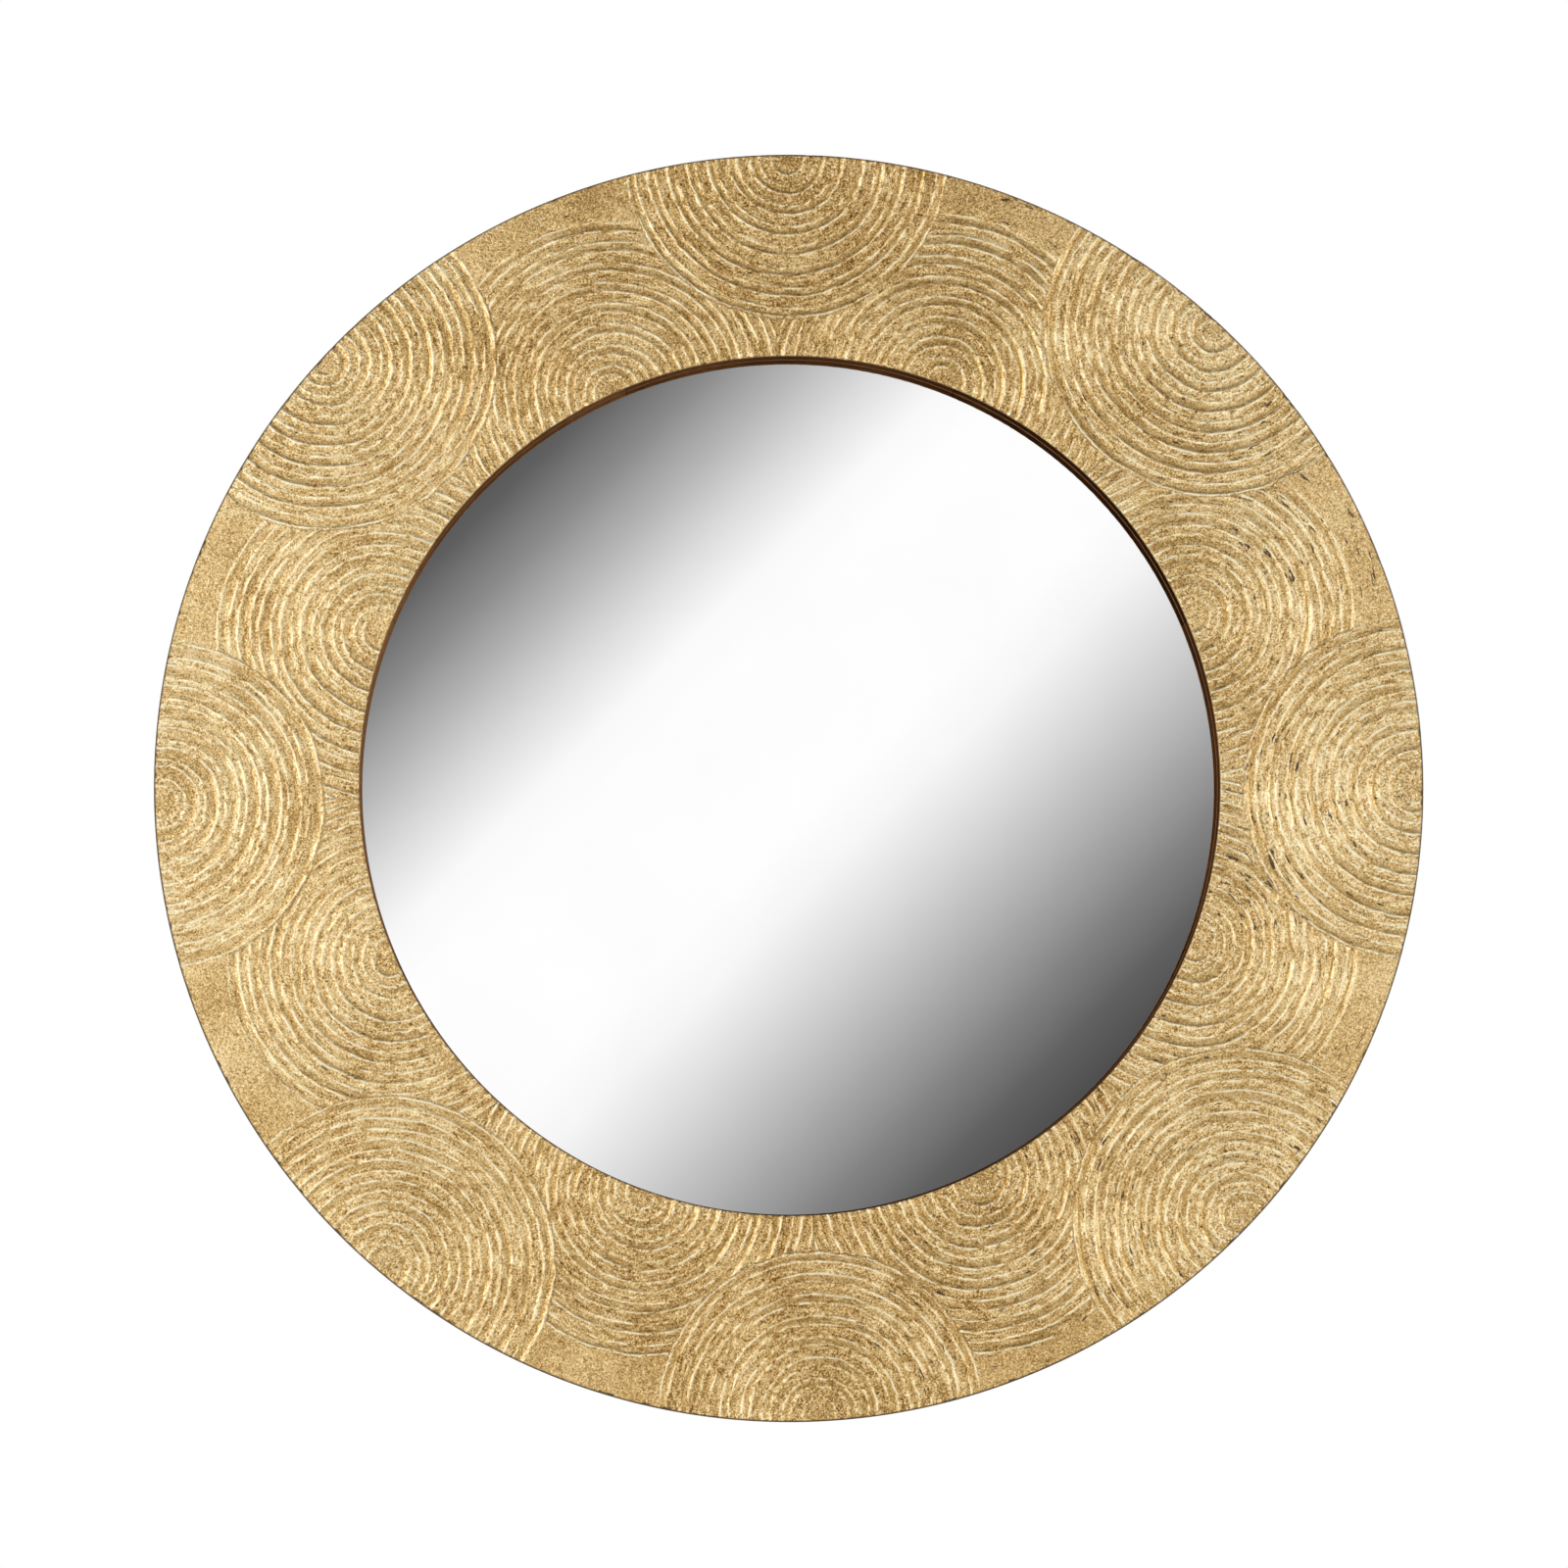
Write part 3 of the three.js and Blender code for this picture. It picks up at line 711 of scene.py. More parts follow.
@dataclass
class CombedFace:
    """The gilded gesso on the ring's face, made in four quarters that meet at fan centres."""

    outer_radius: float = 300.0
    opening_radius: float = 203.5
    back: float = 27.62
    inner_trough: float = 29.1
    outer_trough: float = 29.4
    plain_level: float = 30.0
    front: float = 30.6
    relief: float = 1.1
    pitch: float = 9.75
    sliver_radius: float = 228.0
    sliver_reach: float = 92.0
    arris: float = 1.9
    lip: float = 0.8
    cycles: float = 20.5
    cuts: tuple[float, ...] = (-0.4, 90.4, 177.3, 267.9, 359.6)
    rows: int = 153
    columns: int = 606
    outer_row: FanRow = FanRow((
        Fan(359.6, 297.6, 76.0, 5.8), Fan(42.7, 295.6, 79.2, 4.7), Fan(90.4, 296.0, 80.6, 4.9),
        Fan(133.9, 294.8, 79.2, 4.9), Fan(177.3, 296.9, 75.9, 6.0), Fan(220.0, 295.9, 78.6, 4.8),
        Fan(267.9, 296.5, 76.3, 3.5), Fan(312.2, 297.0, 79.3, 4.9)), 11)
    inner_row: FanRow = FanRow((
        Fan(20.3, 204.6, 79.4, 5.4), Fan(67.0, 206.9, 77.2, 4.3), Fan(111.8, 204.4, 78.2, 4.9),
        Fan(154.7, 204.8, 82.6, 4.8), Fan(199.5, 205.3, 75.0, 5.6), Fan(245.7, 205.3, 77.0, 4.9),
        Fan(290.1, 205.6, 77.1, 4.0), Fan(335.9, 203.9, 81.0, 5.6)), 31, math.pi)

    def radii(self) -> np.ndarray:
        """Radius of each row of the mesh, closer together at the lip and the arris."""
        lip = self.opening_radius + np.array([0, 0.12, 0.35, 0.7])
        arris = self.outer_radius - np.array([1.7, 1.1, 0.6, 0.25, 0])
        middle = np.linspace(lip[-1], arris[0], self.rows + 1 - 7)
        return np.concatenate([lip[:-1], middle, arris[1:]])

    def comb_lines(self, fan: dict[str, np.ndarray], x: np.ndarray, z: np.ndarray, seed: int,
                   even: np.ndarray) -> tuple[np.ndarray, np.ndarray]:
        """Work out the relief that the comb's teeth left.

        Args:
            fan: What FanRow.nearest found for each point.
            x: First coordinate of each point, in millimetres.
            z: Second coordinate of each point, in millimetres.
            seed: Seed of the comb's unevenness.
            even: 1 where strong and weak lines are alike, as in the slivers at the opening.

        Returns:
            Height from 0 in a trough to 1 on a line, and how smooth the comb left the gesso.
        """
        pitch = self.pitch
        away = (fan["distance"] - fan["reach"] + pitch / 2) % pitch - pitch / 2
        beside = (fan["distance"] - fan["reach"] - fan["gap"] + pitch / 2) % pitch - pitch / 2
        patchy = 0.72 + 0.5 * Ripple(seed).at(x, z, 13.0) + 0.36 * Ripple(seed + 1).at(x, z, 3.4)
        faint = 0.52 + 0.4 * Ripple(seed + 2).at(x, z, 10.0) + 0.32 * Ripple(seed + 3).at(x, z, 2.8)
        patchy = patchy + even * (0.62 - 0.7 * patchy)
        faint = faint + even * (0.62 - 0.6 * faint)
        inside = np.exp(-np.abs(np.minimum(away, 0) / 0.85) ** 1.8)
        outside = np.exp(-np.abs(np.maximum(away, 0) / 1.05) ** 1.5)
        strong = np.clip(patchy, 0, 1) * inside * outside
        weak = np.clip(faint, 0, 0.85) * np.exp(-np.abs(beside / 0.8) ** 1.7)
        start = blend_up((fan["distance"] - 2) / 6)
        outward = (fan["distance"] - fan["reach"] + 1.5) % pitch - 1.5
        land = blend_up((outward + 1.3) / 1.3) * (1 - blend_up((outward - fan["gap"]) / 2.6))
        trough = (fan["gap"] + pitch) / 2 + 0.5
        smooth = np.exp(-(((outward % pitch - trough) / 1.6) ** 2)) * np.clip(patchy + 0.2, 0, 1) * start
        height = (0.19 * land + 0.66 * strong + 0.6 * weak) * start
        return np.clip(height, 0, 1), smooth * (1 - even)

    def surface(self, x: np.ndarray, z: np.ndarray) -> dict[str, np.ndarray]:
        """Work out the face at each point.

        Args:
            x: First coordinate of each point, in millimetres.
            z: Second coordinate of each point, in millimetres.

        Returns:
            The height from the wall in millimetres, and what the gilding's material reads.
        """
        radius = np.hypot(x, z)
        outer, inner = self.outer_row.nearest(x, z), self.inner_row.nearest(x, z)
        ragged = Ripple(5).at(x, z, 5.0)
        opening = blend_up((self.sliver_radius - radius) / 10)
        inner_reach = inner["reach"] + 0.6 + (self.sliver_reach - inner["reach"]) * opening + ragged
        in_outer = blend_up((outer["reach"] + 1.9 + 0.6 * ragged - outer["distance"]) / 2.0)
        in_inner = blend_up((inner_reach + 1.3 - inner["distance"]) / 2.0)
        sliver = opening * blend_up((inner["distance"] - 62) / 12)
        upper, upper_smooth = self.comb_lines(outer, x, z, 41, np.zeros_like(x))
        lower, lower_smooth = self.comb_lines(inner, x, z, 61, sliver)
        below = in_inner * (1 - in_outer)
        crest = lower * below + upper * in_outer
        flank = lower_smooth * below + upper_smooth * in_outer
        lumps = Ripple(7).at(x, z, 3.1) * 0.6 + Ripple(8).at(x, z, 1.6) * 0.5
        near_edge = np.exp(-(((outer["distance"] - outer["reach"] - 2.5) / 3.0) ** 2))
        near_core = np.exp(-(((np.minimum(outer["distance"], inner["distance"])) / 9.0) ** 2))
        crumbs = np.clip(Ripple(16).at(x, z, 2.3) + Ripple(17).at(x, z, 30.0) - 0.1, 0, 1)
        crumbs *= np.clip(near_edge + 0.8 * near_core + 0.12, 0, 1)
        plain = self.plain_level + 0.16 * Ripple(9).at(x, z, 8.0)
        height = plain + (self.inner_trough + self.relief * lower - plain) * in_inner
        height = height + (self.outer_trough + self.relief * upper - height) * in_outer
        height += 0.18 * lumps * (1 - 0.6 * flank) + 0.5 * crumbs
        height = np.minimum(height, self.front)

        # Rounded lip at the opening, worn and chipped arris at the outside
        edge = np.clip(radius - self.opening_radius, 0, self.lip)
        height -= self.lip - np.sqrt(self.lip**2 - (self.lip - edge) ** 2)
        chip = blend_up((Ripple(10).at(x, z, 4.0) + 0.7 * Ripple(12).at(x, z, 1.6) - 0.2) / 0.9)
        rim = np.clip(radius - (self.outer_radius - self.arris), 0, self.arris)
        ceiling = self.front - self.arris + np.sqrt(np.maximum(self.arris**2 - rim**2, 0))
        height = np.minimum(height, ceiling - 0.55 * chip * blend_up(rim / self.arris * 1.6))
        bare = blend_up((radius - self.outer_radius + 1.05 + 0.6 * chip) / 0.6)
        bare = np.maximum(bare, blend_up((self.opening_radius + 0.3 - radius) / 0.3) * 0.8)
        worn_side = 0.4 + 0.4 * np.clip(x / self.outer_radius, -1, 1) + 0.4 * Ripple(15).at(x, z, 55.0)
        over = in_outer > 0.5
        strong = np.where(over, outer["distance"] - outer["reach"], inner["distance"] - inner["reach"])
        return {
            "height": height,
            "crest": crest,
            "flank": flank,
            "combed": np.maximum(in_inner, in_outer),
            "bare": bare,
            "aged": np.clip(worn_side, 0, 1),
            "strong_tooth": strong / self.pitch + self.cycles,
            "weak_tooth": (strong - np.where(over, outer["gap"], inner["gap"])) / self.pitch + self.cycles,
            "fan_x": np.where(over, outer["dx"], inner["dx"]),
            "fan_z": np.where(over, outer["dz"], inner["dz"]),
        }

    def quarter(self, number: int) -> bpy.types.Object:
        """Make one quarter of the face.

        Args:
            number: Quarter, from 0, clockwise from the top.

        Returns:
            The new object.
        """
        radii = self.radii()
        sheet = bmesh.new()
        bmesh.ops.create_grid(sheet, x_segments=self.columns, y_segments=len(radii) - 1, size=1.0)
        mesh = bpy.data.meshes.new("grid")
        sheet.to_mesh(mesh)
        flat = np.zeros(len(mesh.vertices) * 3, np.float32)
        mesh.vertices.foreach_get("co", flat)
        flat = flat.reshape(-1, 3).astype(float)
        start, end = np.radians(self.cuts[number]), np.radians(self.cuts[number + 1])
        turn = start + (flat[:, 0] + 1) / 2 * (end - start)
        row = np.rint((flat[:, 1] + 1) / 2 * (len(radii) - 1)).astype(int)
        x, z = radii[row] * np.sin(turn), radii[row] * np.cos(turn)
        face = self.surface(x, z)
        place = np.column_stack([x, -face["height"], z]) * MM
        mesh.vertices.foreach_set("co", place.astype(np.float32).ravel())
        for name in ("crest", "flank", "combed", "bare", "aged", "strong_tooth", "weak_tooth"):
            mesh.attributes.new(name, "FLOAT", "POINT").data.foreach_set("value", face[name].astype(np.float32))
        offset = np.column_stack([face["fan_x"], np.zeros_like(x), face["fan_z"]]) * MM
        mesh.attributes.new("fan_offset", "FLOAT_VECTOR", "POINT").data.foreach_set(
            "vector", offset.astype(np.float32).ravel())
        sheet.clear()
        sheet.from_mesh(mesh)
        bpy.data.meshes.remove(mesh)
        rim = [edge for edge in sheet.edges if edge.is_boundary]
        wall = bmesh.ops.extrude_edge_only(sheet, edges=rim)["geom"]
        for corner in (part for part in wall if isinstance(part, bmesh.types.BMVert)):
            corner.co.y = -self.back * MM
        foot = [part for part in wall if isinstance(part, bmesh.types.BMEdge) and part.is_boundary]
        bmesh.ops.edgeloop_fill(sheet, edges=foot)
        bmesh.ops.recalc_face_normals(sheet, faces=sheet.faces)
        return piece(f"gilded_quarter_{number + 1}", sheet, GildedGesso(),
                     ("combed_gesso_face",), crease=62.0)

    def build(self) -> None:
        """Make the four quarters."""
        for number in range(len(self.cuts) - 1):
            made = self.quarter(number)
            log.info("%s: %d faces", made.name, len(made.data.polygons))


# ---------------------------------------------------------------- ring, glass and backing


@dataclass
class TurnedRing:
    """The wooden ring with its rebate for the glass."""

    outer_radius: float = 300.0
    opening_radius: float = 203.5
    rebate_radius: float = 212.0
    back: float = 7.0
    seat: float = 14.6
    front: float = 27.6
    segments: int = 256

    def build(self) -> None:
        """Make the ring."""
        opening, seat, front = self.opening_radius, self.seat, self.front
        body = turned([
            (opening + 0.5, front),
            (self.outer_radius - 0.6, front),
            (self.outer_radius - 0.05, front - 0.6),
            (self.outer_radius - 0.05, self.back + 1.3),
            (self.outer_radius - 1.3, self.back),
            (self.rebate_radius + 0.5, self.back),
            (self.rebate_radius, self.back + 0.5),
            (self.rebate_radius, seat),
            (opening + 0.9, seat),
            (opening + 0.25, seat + 0.5),
            (opening + 0.1, seat + 2.2),
            (opening + 0.55, seat + 2.6),
            (opening + 0.1, seat + 3.0),
            (opening + 0.05, front - 3.4),
            (opening + 0.45, front - 3.0),
            (opening + 0.05, front - 2.6),
            (opening, front - 0.5),
        ], self.segments)
        for face in body.faces:
            reach = max(math.hypot(vert.co.x, vert.co.z) for vert in face.verts)
            face.material_index = int(reach < (opening + 1.0) * MM)
        made = piece("turned_ring", body, StainedWood(), ("frame_board",), crease=25.0)
        made.data.materials.append(StainedWood("stained_beech_unwaxed", sheen=0.0).material())
        log.info("%s: %d faces", made.name, len(made.data.polygons))


@dataclass
class GlassAndBacking:
    """The glass in its rebate, and what presses it there and closes the back."""

    glass_radius: float = 210.8
    glass_front: float = 14.3
    glass_back: float = 10.3
    felt_front: float = 10.0
    felt_back: float = 7.05
    board_radius: float = 226.0
    board_front: float = 6.7
    board_back: float = 3.7
    seam: float = 0.6
    segments: int = 256

    def glass(self) -> bpy.types.Object:
        """Make the glass with its seamed edge."""
        rim, front, back = self.glass_radius, self.glass_front, self.glass_back
        body = turned([(0, front), (rim - self.seam, front), (rim, front - self.seam),
                       (rim, back + self.seam), (rim - self.seam, back), (0, back)], self.segments)
        return piece("silvered_glass", body, SilveredGlass(), ("mirror_glass",))

    def felt(self) -> bpy.types.Object:
        """Make the felt sheet, a little rounded by pressure at its rim."""
        rim, front, back = self.glass_radius, self.felt_front, self.felt_back
        body = turned([(0, front), (rim - 1.2, front), (rim - 0.3, front - 0.5), (rim, front - 1.4),
                       (rim - 0.3, back + 0.5), (rim - 1.2, back), (0, back)], self.segments // 2)
        made = piece("felt_sheet", body, WoolFelt(), ("felt_pad",))
        return made

    def board(self) -> bpy.types.Object:
        """Make the hardboard disc with its sanded edge."""
        rim, front, back = self.board_radius, self.board_front, self.board_back
        body = turned([(0, front), (rim - 0.3, front), (rim, front - 0.3), (rim, back + 0.7),
                       (rim - 0.25, back + 0.25), (rim - 0.7, back), (0, back)], self.segments)
        return piece("hardboard_disc", body, Hardboard(), ("back_board",))

    def build(self) -> None:
        """Make the glass, the felt and the back board."""
        for made in (self.glass(), self.felt(), self.board()):
            log.info("%s: %d faces", made.name, len(made.data.polygons))


# ---------------------------------------------------------------- screws


@dataclass
class WoodScrew:
    """A round-headed wood screw with a cross recess, seen from behind the mirror."""

    shank_radius: float = 1.5
    head_radius: float = 3.3
    head_height: float = 1.7
    point: float = 2.5
    play: float = 0.3
    recess_reach: float = 1.9
    recess_width: float = 0.62
    recess_depth: float = 1.1
    segments: int = 24

    def head_cross(self, body: bmesh.types.BMesh, crown: float) -> list[bmesh.types.BMEdge]:
        """Draw the cross recess's outline and sink it.

        Args:
            body: Body that gets the recess.
            crown: Distance of the head's top from the wall.

        Returns:
            The outline's edges, still open on the outside.
        """
        arm, half = self.recess_reach, self.recess_width / 2
        outline = []
        for quarter in range(4):
            turn = Matrix.Rotation(math.radians(90 * quarter), 3, "Y")
            for x, z in ((half, half), (arm, half), (arm, -half)):
                outline.append(body.verts.new(turn @ Vector((x, -crown, z)) * MM))
        mouth = body.faces.new(outline)
        rim = list(mouth.edges)
        sunk = bmesh.ops.extrude_face_region(body, geom=[mouth])["geom"]
        bmesh.ops.delete(body, geom=[mouth], context="FACES_ONLY")
        floor = [part for part in sunk if isinstance(part, bmesh.types.BMVert)]
        for corner in floor:
            corner.co.x *= 0.45
            corner.co.z *= 0.45
            corner.co.y = (-crown - self.recess_depth) * MM
        return rim

    def body(self, seat: float, tip: float) -> bmesh.types.BMesh:
        """Make the screw on the mirror's axis.

        Args:
            seat: Distance from the wall of the face under the head.
            tip: Distance from the wall of the screw's point.

        Returns:
            The screw's mesh, in metres.
        """
        under = seat - self.play
        crown = under - self.head_height
        head, reach = self.head_radius, self.recess_reach + 0.25
        profile = [(0, tip), (self.shank_radius, tip - self.point), (self.shank_radius, under),
                   (head - 0.15, under), (head, under - 0.15), (head * 0.97, under - 0.6),
                   (head * 0.86, under - 1.15), (reach, crown)]
        made = bmesh.new()
        corners = [made.verts.new((radius * MM, -distance * MM, 0)) for radius, distance in profile]
        edges = [made.edges.new(pair) for pair in zip(corners, corners[1:])]
        bmesh.ops.spin(made, geom=corners + edges, cent=(0, 0, 0), axis=(0, 1, 0), angle=2 * math.pi,
                       steps=self.segments, use_merge=True)
        bmesh.ops.remove_doubles(made, verts=made.verts, dist=1e-7)
        rim = [edge for edge in made.edges if edge.is_boundary]
        cross = self.head_cross(made, crown)
        bmesh.ops.bridge_loops(made, edges=rim + cross)
        return tidied(made)

    def place(self, name: str, node: str, seat: float, tip: float, x: float, z: float, turn: float) -> None:
        """Put a screw where its node is.

        Args:
            name: Name of the new object.
            node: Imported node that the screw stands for.
            seat: Distance from the wall of the face under the head.
            tip: Distance from the wall of the screw's point.
            x: Place across the mirror, in millimetres.
            z: Place up the mirror, in millimetres.
            turn: How far the cross recess is turned, in degrees.
        """
        made = self.body(seat, tip)
        bmesh.ops.rotate(made, verts=made.verts, cent=(0, 0, 0), matrix=Matrix.Rotation(math.radians(turn), 3, "Y"))
        bmesh.ops.translate(made, verts=made.verts, vec=(x * MM, 0, z * MM))
        piece(name, made, ZincPlatedSteel(), (node,), crease=38.0)


@dataclass
class BackScrews:
    """The eight screws of the back board."""

    count: int = 8
    radius: float = 219.0
    seat: float = 3.7
    tip: float = 19.0
    screw: WoodScrew = field(default_factory=WoodScrew)

    def build(self) -> None:
        """Make the screws, each left at its own turn."""
        turns = np.random.default_rng(3).uniform(0, 90, self.count)
        for number in range(self.count):
            x, z = clock_point((number + 0.5) * 360 / self.count, self.radius)
            self.screw.place(f"back_board_screw_{number + 1}", f"back_screw_{number + 1}",
                             self.seat, self.tip, x, z, turns[number])
        log.info("back board screws: %d", self.count)


# ---------------------------------------------------------------- hangers


@dataclass
class Hanger:
    """A strap hanger: a strap rolled round a D-shaped ring, and the strap's two screws."""

    side: Side
    hinge_x: float = 236.383
    hinge_z: float = 115.292
    strap_width: float = 12.0
    strap_length: float = 46.0
    strap_front: float = 6.7
    strap_back: float = 5.5
    roll_centre: float = 3.7
    roll_inner: float = 1.8
    roll_outer: float = 3.0
    screw_drops: tuple[float, ...] = (28.0, 40.0)
    screw_tip: float = 19.0
    wire_radius: float = 1.5
    ring_width: float = 27.0
    ring_height: float = 20.0
    ring_corner: float = 4.0
    screw: WoodScrew = field(default_factory=WoodScrew)

    @property
    def word(self) -> str:
        """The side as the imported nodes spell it."""
        return self.side.name.lower()

    def strap(self) -> bpy.types.Object:
        """Make the strap: its leg's section is drawn, its roll is spun, and both get their width."""
        half, end = self.strap_width / 2 * MM, -self.strap_length * MM
        made = bmesh.new()
        inner = made.verts.new((-half, -self.strap_back * MM, 0))
        outer = made.verts.new((-half, -self.strap_front * MM, 0))
        lip = [inner, outer, made.edges.new((inner, outer))]
        bmesh.ops.spin(made, geom=lip, cent=(0, -self.roll_centre * MM, 0), axis=(1, 0, 0),
                       angle=-math.radians(255), steps=20, use_duplicate=False)
        leg = bmesh.ops.extrude_edge_only(made, edges=[made.edges.get((inner, outer))])["geom"]
        for corner in (part for part in leg if isinstance(part, bmesh.types.BMVert)):
            corner.co.z = end
        section = list(made.faces)
        wide = bmesh.ops.extrude_face_region(made, geom=section, use_keep_orig=True)["geom"]
        corners = [part for part in wide if isinstance(part, bmesh.types.BMVert)]
        bmesh.ops.translate(made, verts=corners, vec=(2 * half, 0, 0))
        tidied(made)
        upright = [edge for edge in made.edges
                   if abs(edge.verts[0].co.z - end) < 1e-6 and abs(edge.verts[1].co.z - end) < 1e-6
                   and abs(edge.verts[0].co.x - edge.verts[1].co.x) < 1e-6]
        bmesh.ops.bevel(made, geom=upright, affect="EDGES", offset=3.2 * MM, offset_type="OFFSET",
                        segments=6, profile=0.5, material=-1)
        rounded(made, 0.22, 2, above=50.0)
        bmesh.ops.translate(made, verts=made.verts, vec=(self.side.value * self.hinge_x * MM, 0, self.hinge_z * MM))
        return piece(f"strap_{self.word}", tidied(made), ZincPlatedSteel(),
                     (f"hanger_strap_{self.word}",), crease=30.0)

    def wire(self) -> bpy.types.Object:
        """Make the D-shaped ring by leading a circle of wire round its path."""
        half, corner = self.ring_width / 2, self.ring_corner
        made = bmesh.new()
        start = bmesh.ops.create_circle(made, cap_ends=True, radius=self.wire_radius * MM, segments=16,
                                        matrix=Matrix.Rotation(math.radians(90), 4, "Y"))["verts"]
        bmesh.ops.translate(made, verts=start, vec=(-0.3 * MM, -self.roll_centre * MM, 0))
        end = self._led(made, list(made.faces), (-(half - corner - 0.3), 0))
        end = self._bent(made, end, (-(half - corner), -corner), 90, 8)
        end = self._led(made, end, (0, -(self.ring_height - half - corner)))
        end = self._bent(made, end, (0, half - self.ring_height), 180, 32)
        end = self._led(made, end, (0, self.ring_height - half - corner))
        end = self._bent(made, end, (half - corner, -corner), 90, 8)
        self._led(made, end, (-(half - corner - 0.3), 0))
        bmesh.ops.translate(made, verts=made.verts, vec=(self.side.value * self.hinge_x * MM, 0, self.hinge_z * MM))
        return piece(f"ring_{self.word}", tidied(made), ZincPlatedSteel(),
                     (f"hanger_ring_{self.word}",), rides_on=f"ring_{self.word}", crease=40.0)

    def _led(self, made: bmesh.types.BMesh, end: list[bmesh.types.BMFace],
             way: tuple[float, float]) -> list[bmesh.types.BMFace]:
        """Lead the wire's end straight on by a way in x and z, and return its new end."""
        grown = bmesh.ops.extrude_discrete_faces(made, faces=end)["faces"]
        corners = list({corner for face in grown for corner in face.verts})
        bmesh.ops.translate(made, verts=corners, vec=(way[0] * MM, 0, way[1] * MM))
        return grown

    def _bent(self, made: bmesh.types.BMesh, end: list[bmesh.types.BMFace], centre: tuple[float, float],
              angle: float, steps: int) -> list[bmesh.types.BMFace]:
        """Bend the wire's end round a centre in x and z, and return its new end."""
        pivot = (centre[0] * MM, -self.roll_centre * MM, centre[1] * MM)
        step = Matrix.Rotation(math.radians(-angle / steps), 3, "Y")
        for _ in range(steps):
            end = bmesh.ops.extrude_discrete_faces(made, faces=end)["faces"]
            corners = list({corner for face in end for corner in face.verts})
            bmesh.ops.rotate(made, verts=corners, cent=pivot, matrix=step)
        return end

    def build(self) -> None:
        """Make the strap, the ring and the screws."""
        for made in (self.strap(), self.wire()):
            log.info("%s: %d faces", made.name, len(made.data.polygons))
        for number, drop in enumerate(self.screw_drops, 1):
            self.screw.place(f"strap_{self.word}_screw_{number}", f"strap_screw_{self.word}_{number}",
                             self.strap_back, self.screw_tip, self.side.value * self.hinge_x,
                             self.hinge_z - drop, 37.0 * number + 20 * self.side.value)


# ---------------------------------------------------------------- bumpers


@dataclass
class Bumpers:
    """The four rubber bumpers that keep the back off the wall."""

    circle: float = 263.0
    radius: float = 9.0
    seat: float = 6.7
    angles: dict[str, float] = field(default_factory=lambda: {
        "upper_left": -30.0, "upper_right": 30.0, "lower_left": 210.0, "lower_right": 150.0})
    segments: int = 48

    def build(self) -> None:
        """Make the bumpers, with a moulded dimple in each foot."""
        profile = [(0, self.seat), (self.radius, self.seat), (self.radius, 1.6), (self.radius - 0.35, 0.65),
                   (self.radius - 1.1, 0.12), (self.radius - 1.9, 0), (3.0, 0), (2.4, 0.25), (2.0, 1.1), (0, 1.3)]
        for corner, angle in self.angles.items():
            made = turned(profile, self.segments)
            x, z = clock_point(angle, self.circle)
            bmesh.ops.translate(made, verts=made.verts, vec=(x * MM, 0, z * MM))
            piece(f"bumper_{corner}", made, MouldedRubber(), (f"wall_bumper_{corner}",), crease=45.0)
        log.info("bumpers: %d", len(self.angles))


# ---------------------------------------------------------------- studio


@dataclass
class Lamp:
    """A square soft lamp aimed at a point."""

    name: str
    place: tuple[float, float, float]
    watts: float
    size: float
    aim: tuple[float, float, float] = (0.0, 0.0, 0.0)
    colour: str = "#ffffff"

    def build(self) -> None:
        """Make the lamp."""
        light = bpy.data.lights.new(self.name, "AREA")
        light.energy = self.watts
        light.size = self.size
        light.color = srgb(self.colour)[:3]
        lamp = bpy.data.objects.new(self.name, light)
        lamp.location = self.place
        lamp.rotation_euler = (Vector(self.aim) - Vector(self.place)).to_track_quat("-Z", "Y").to_euler()
        bpy.context.scene.collection.objects.link(lamp)


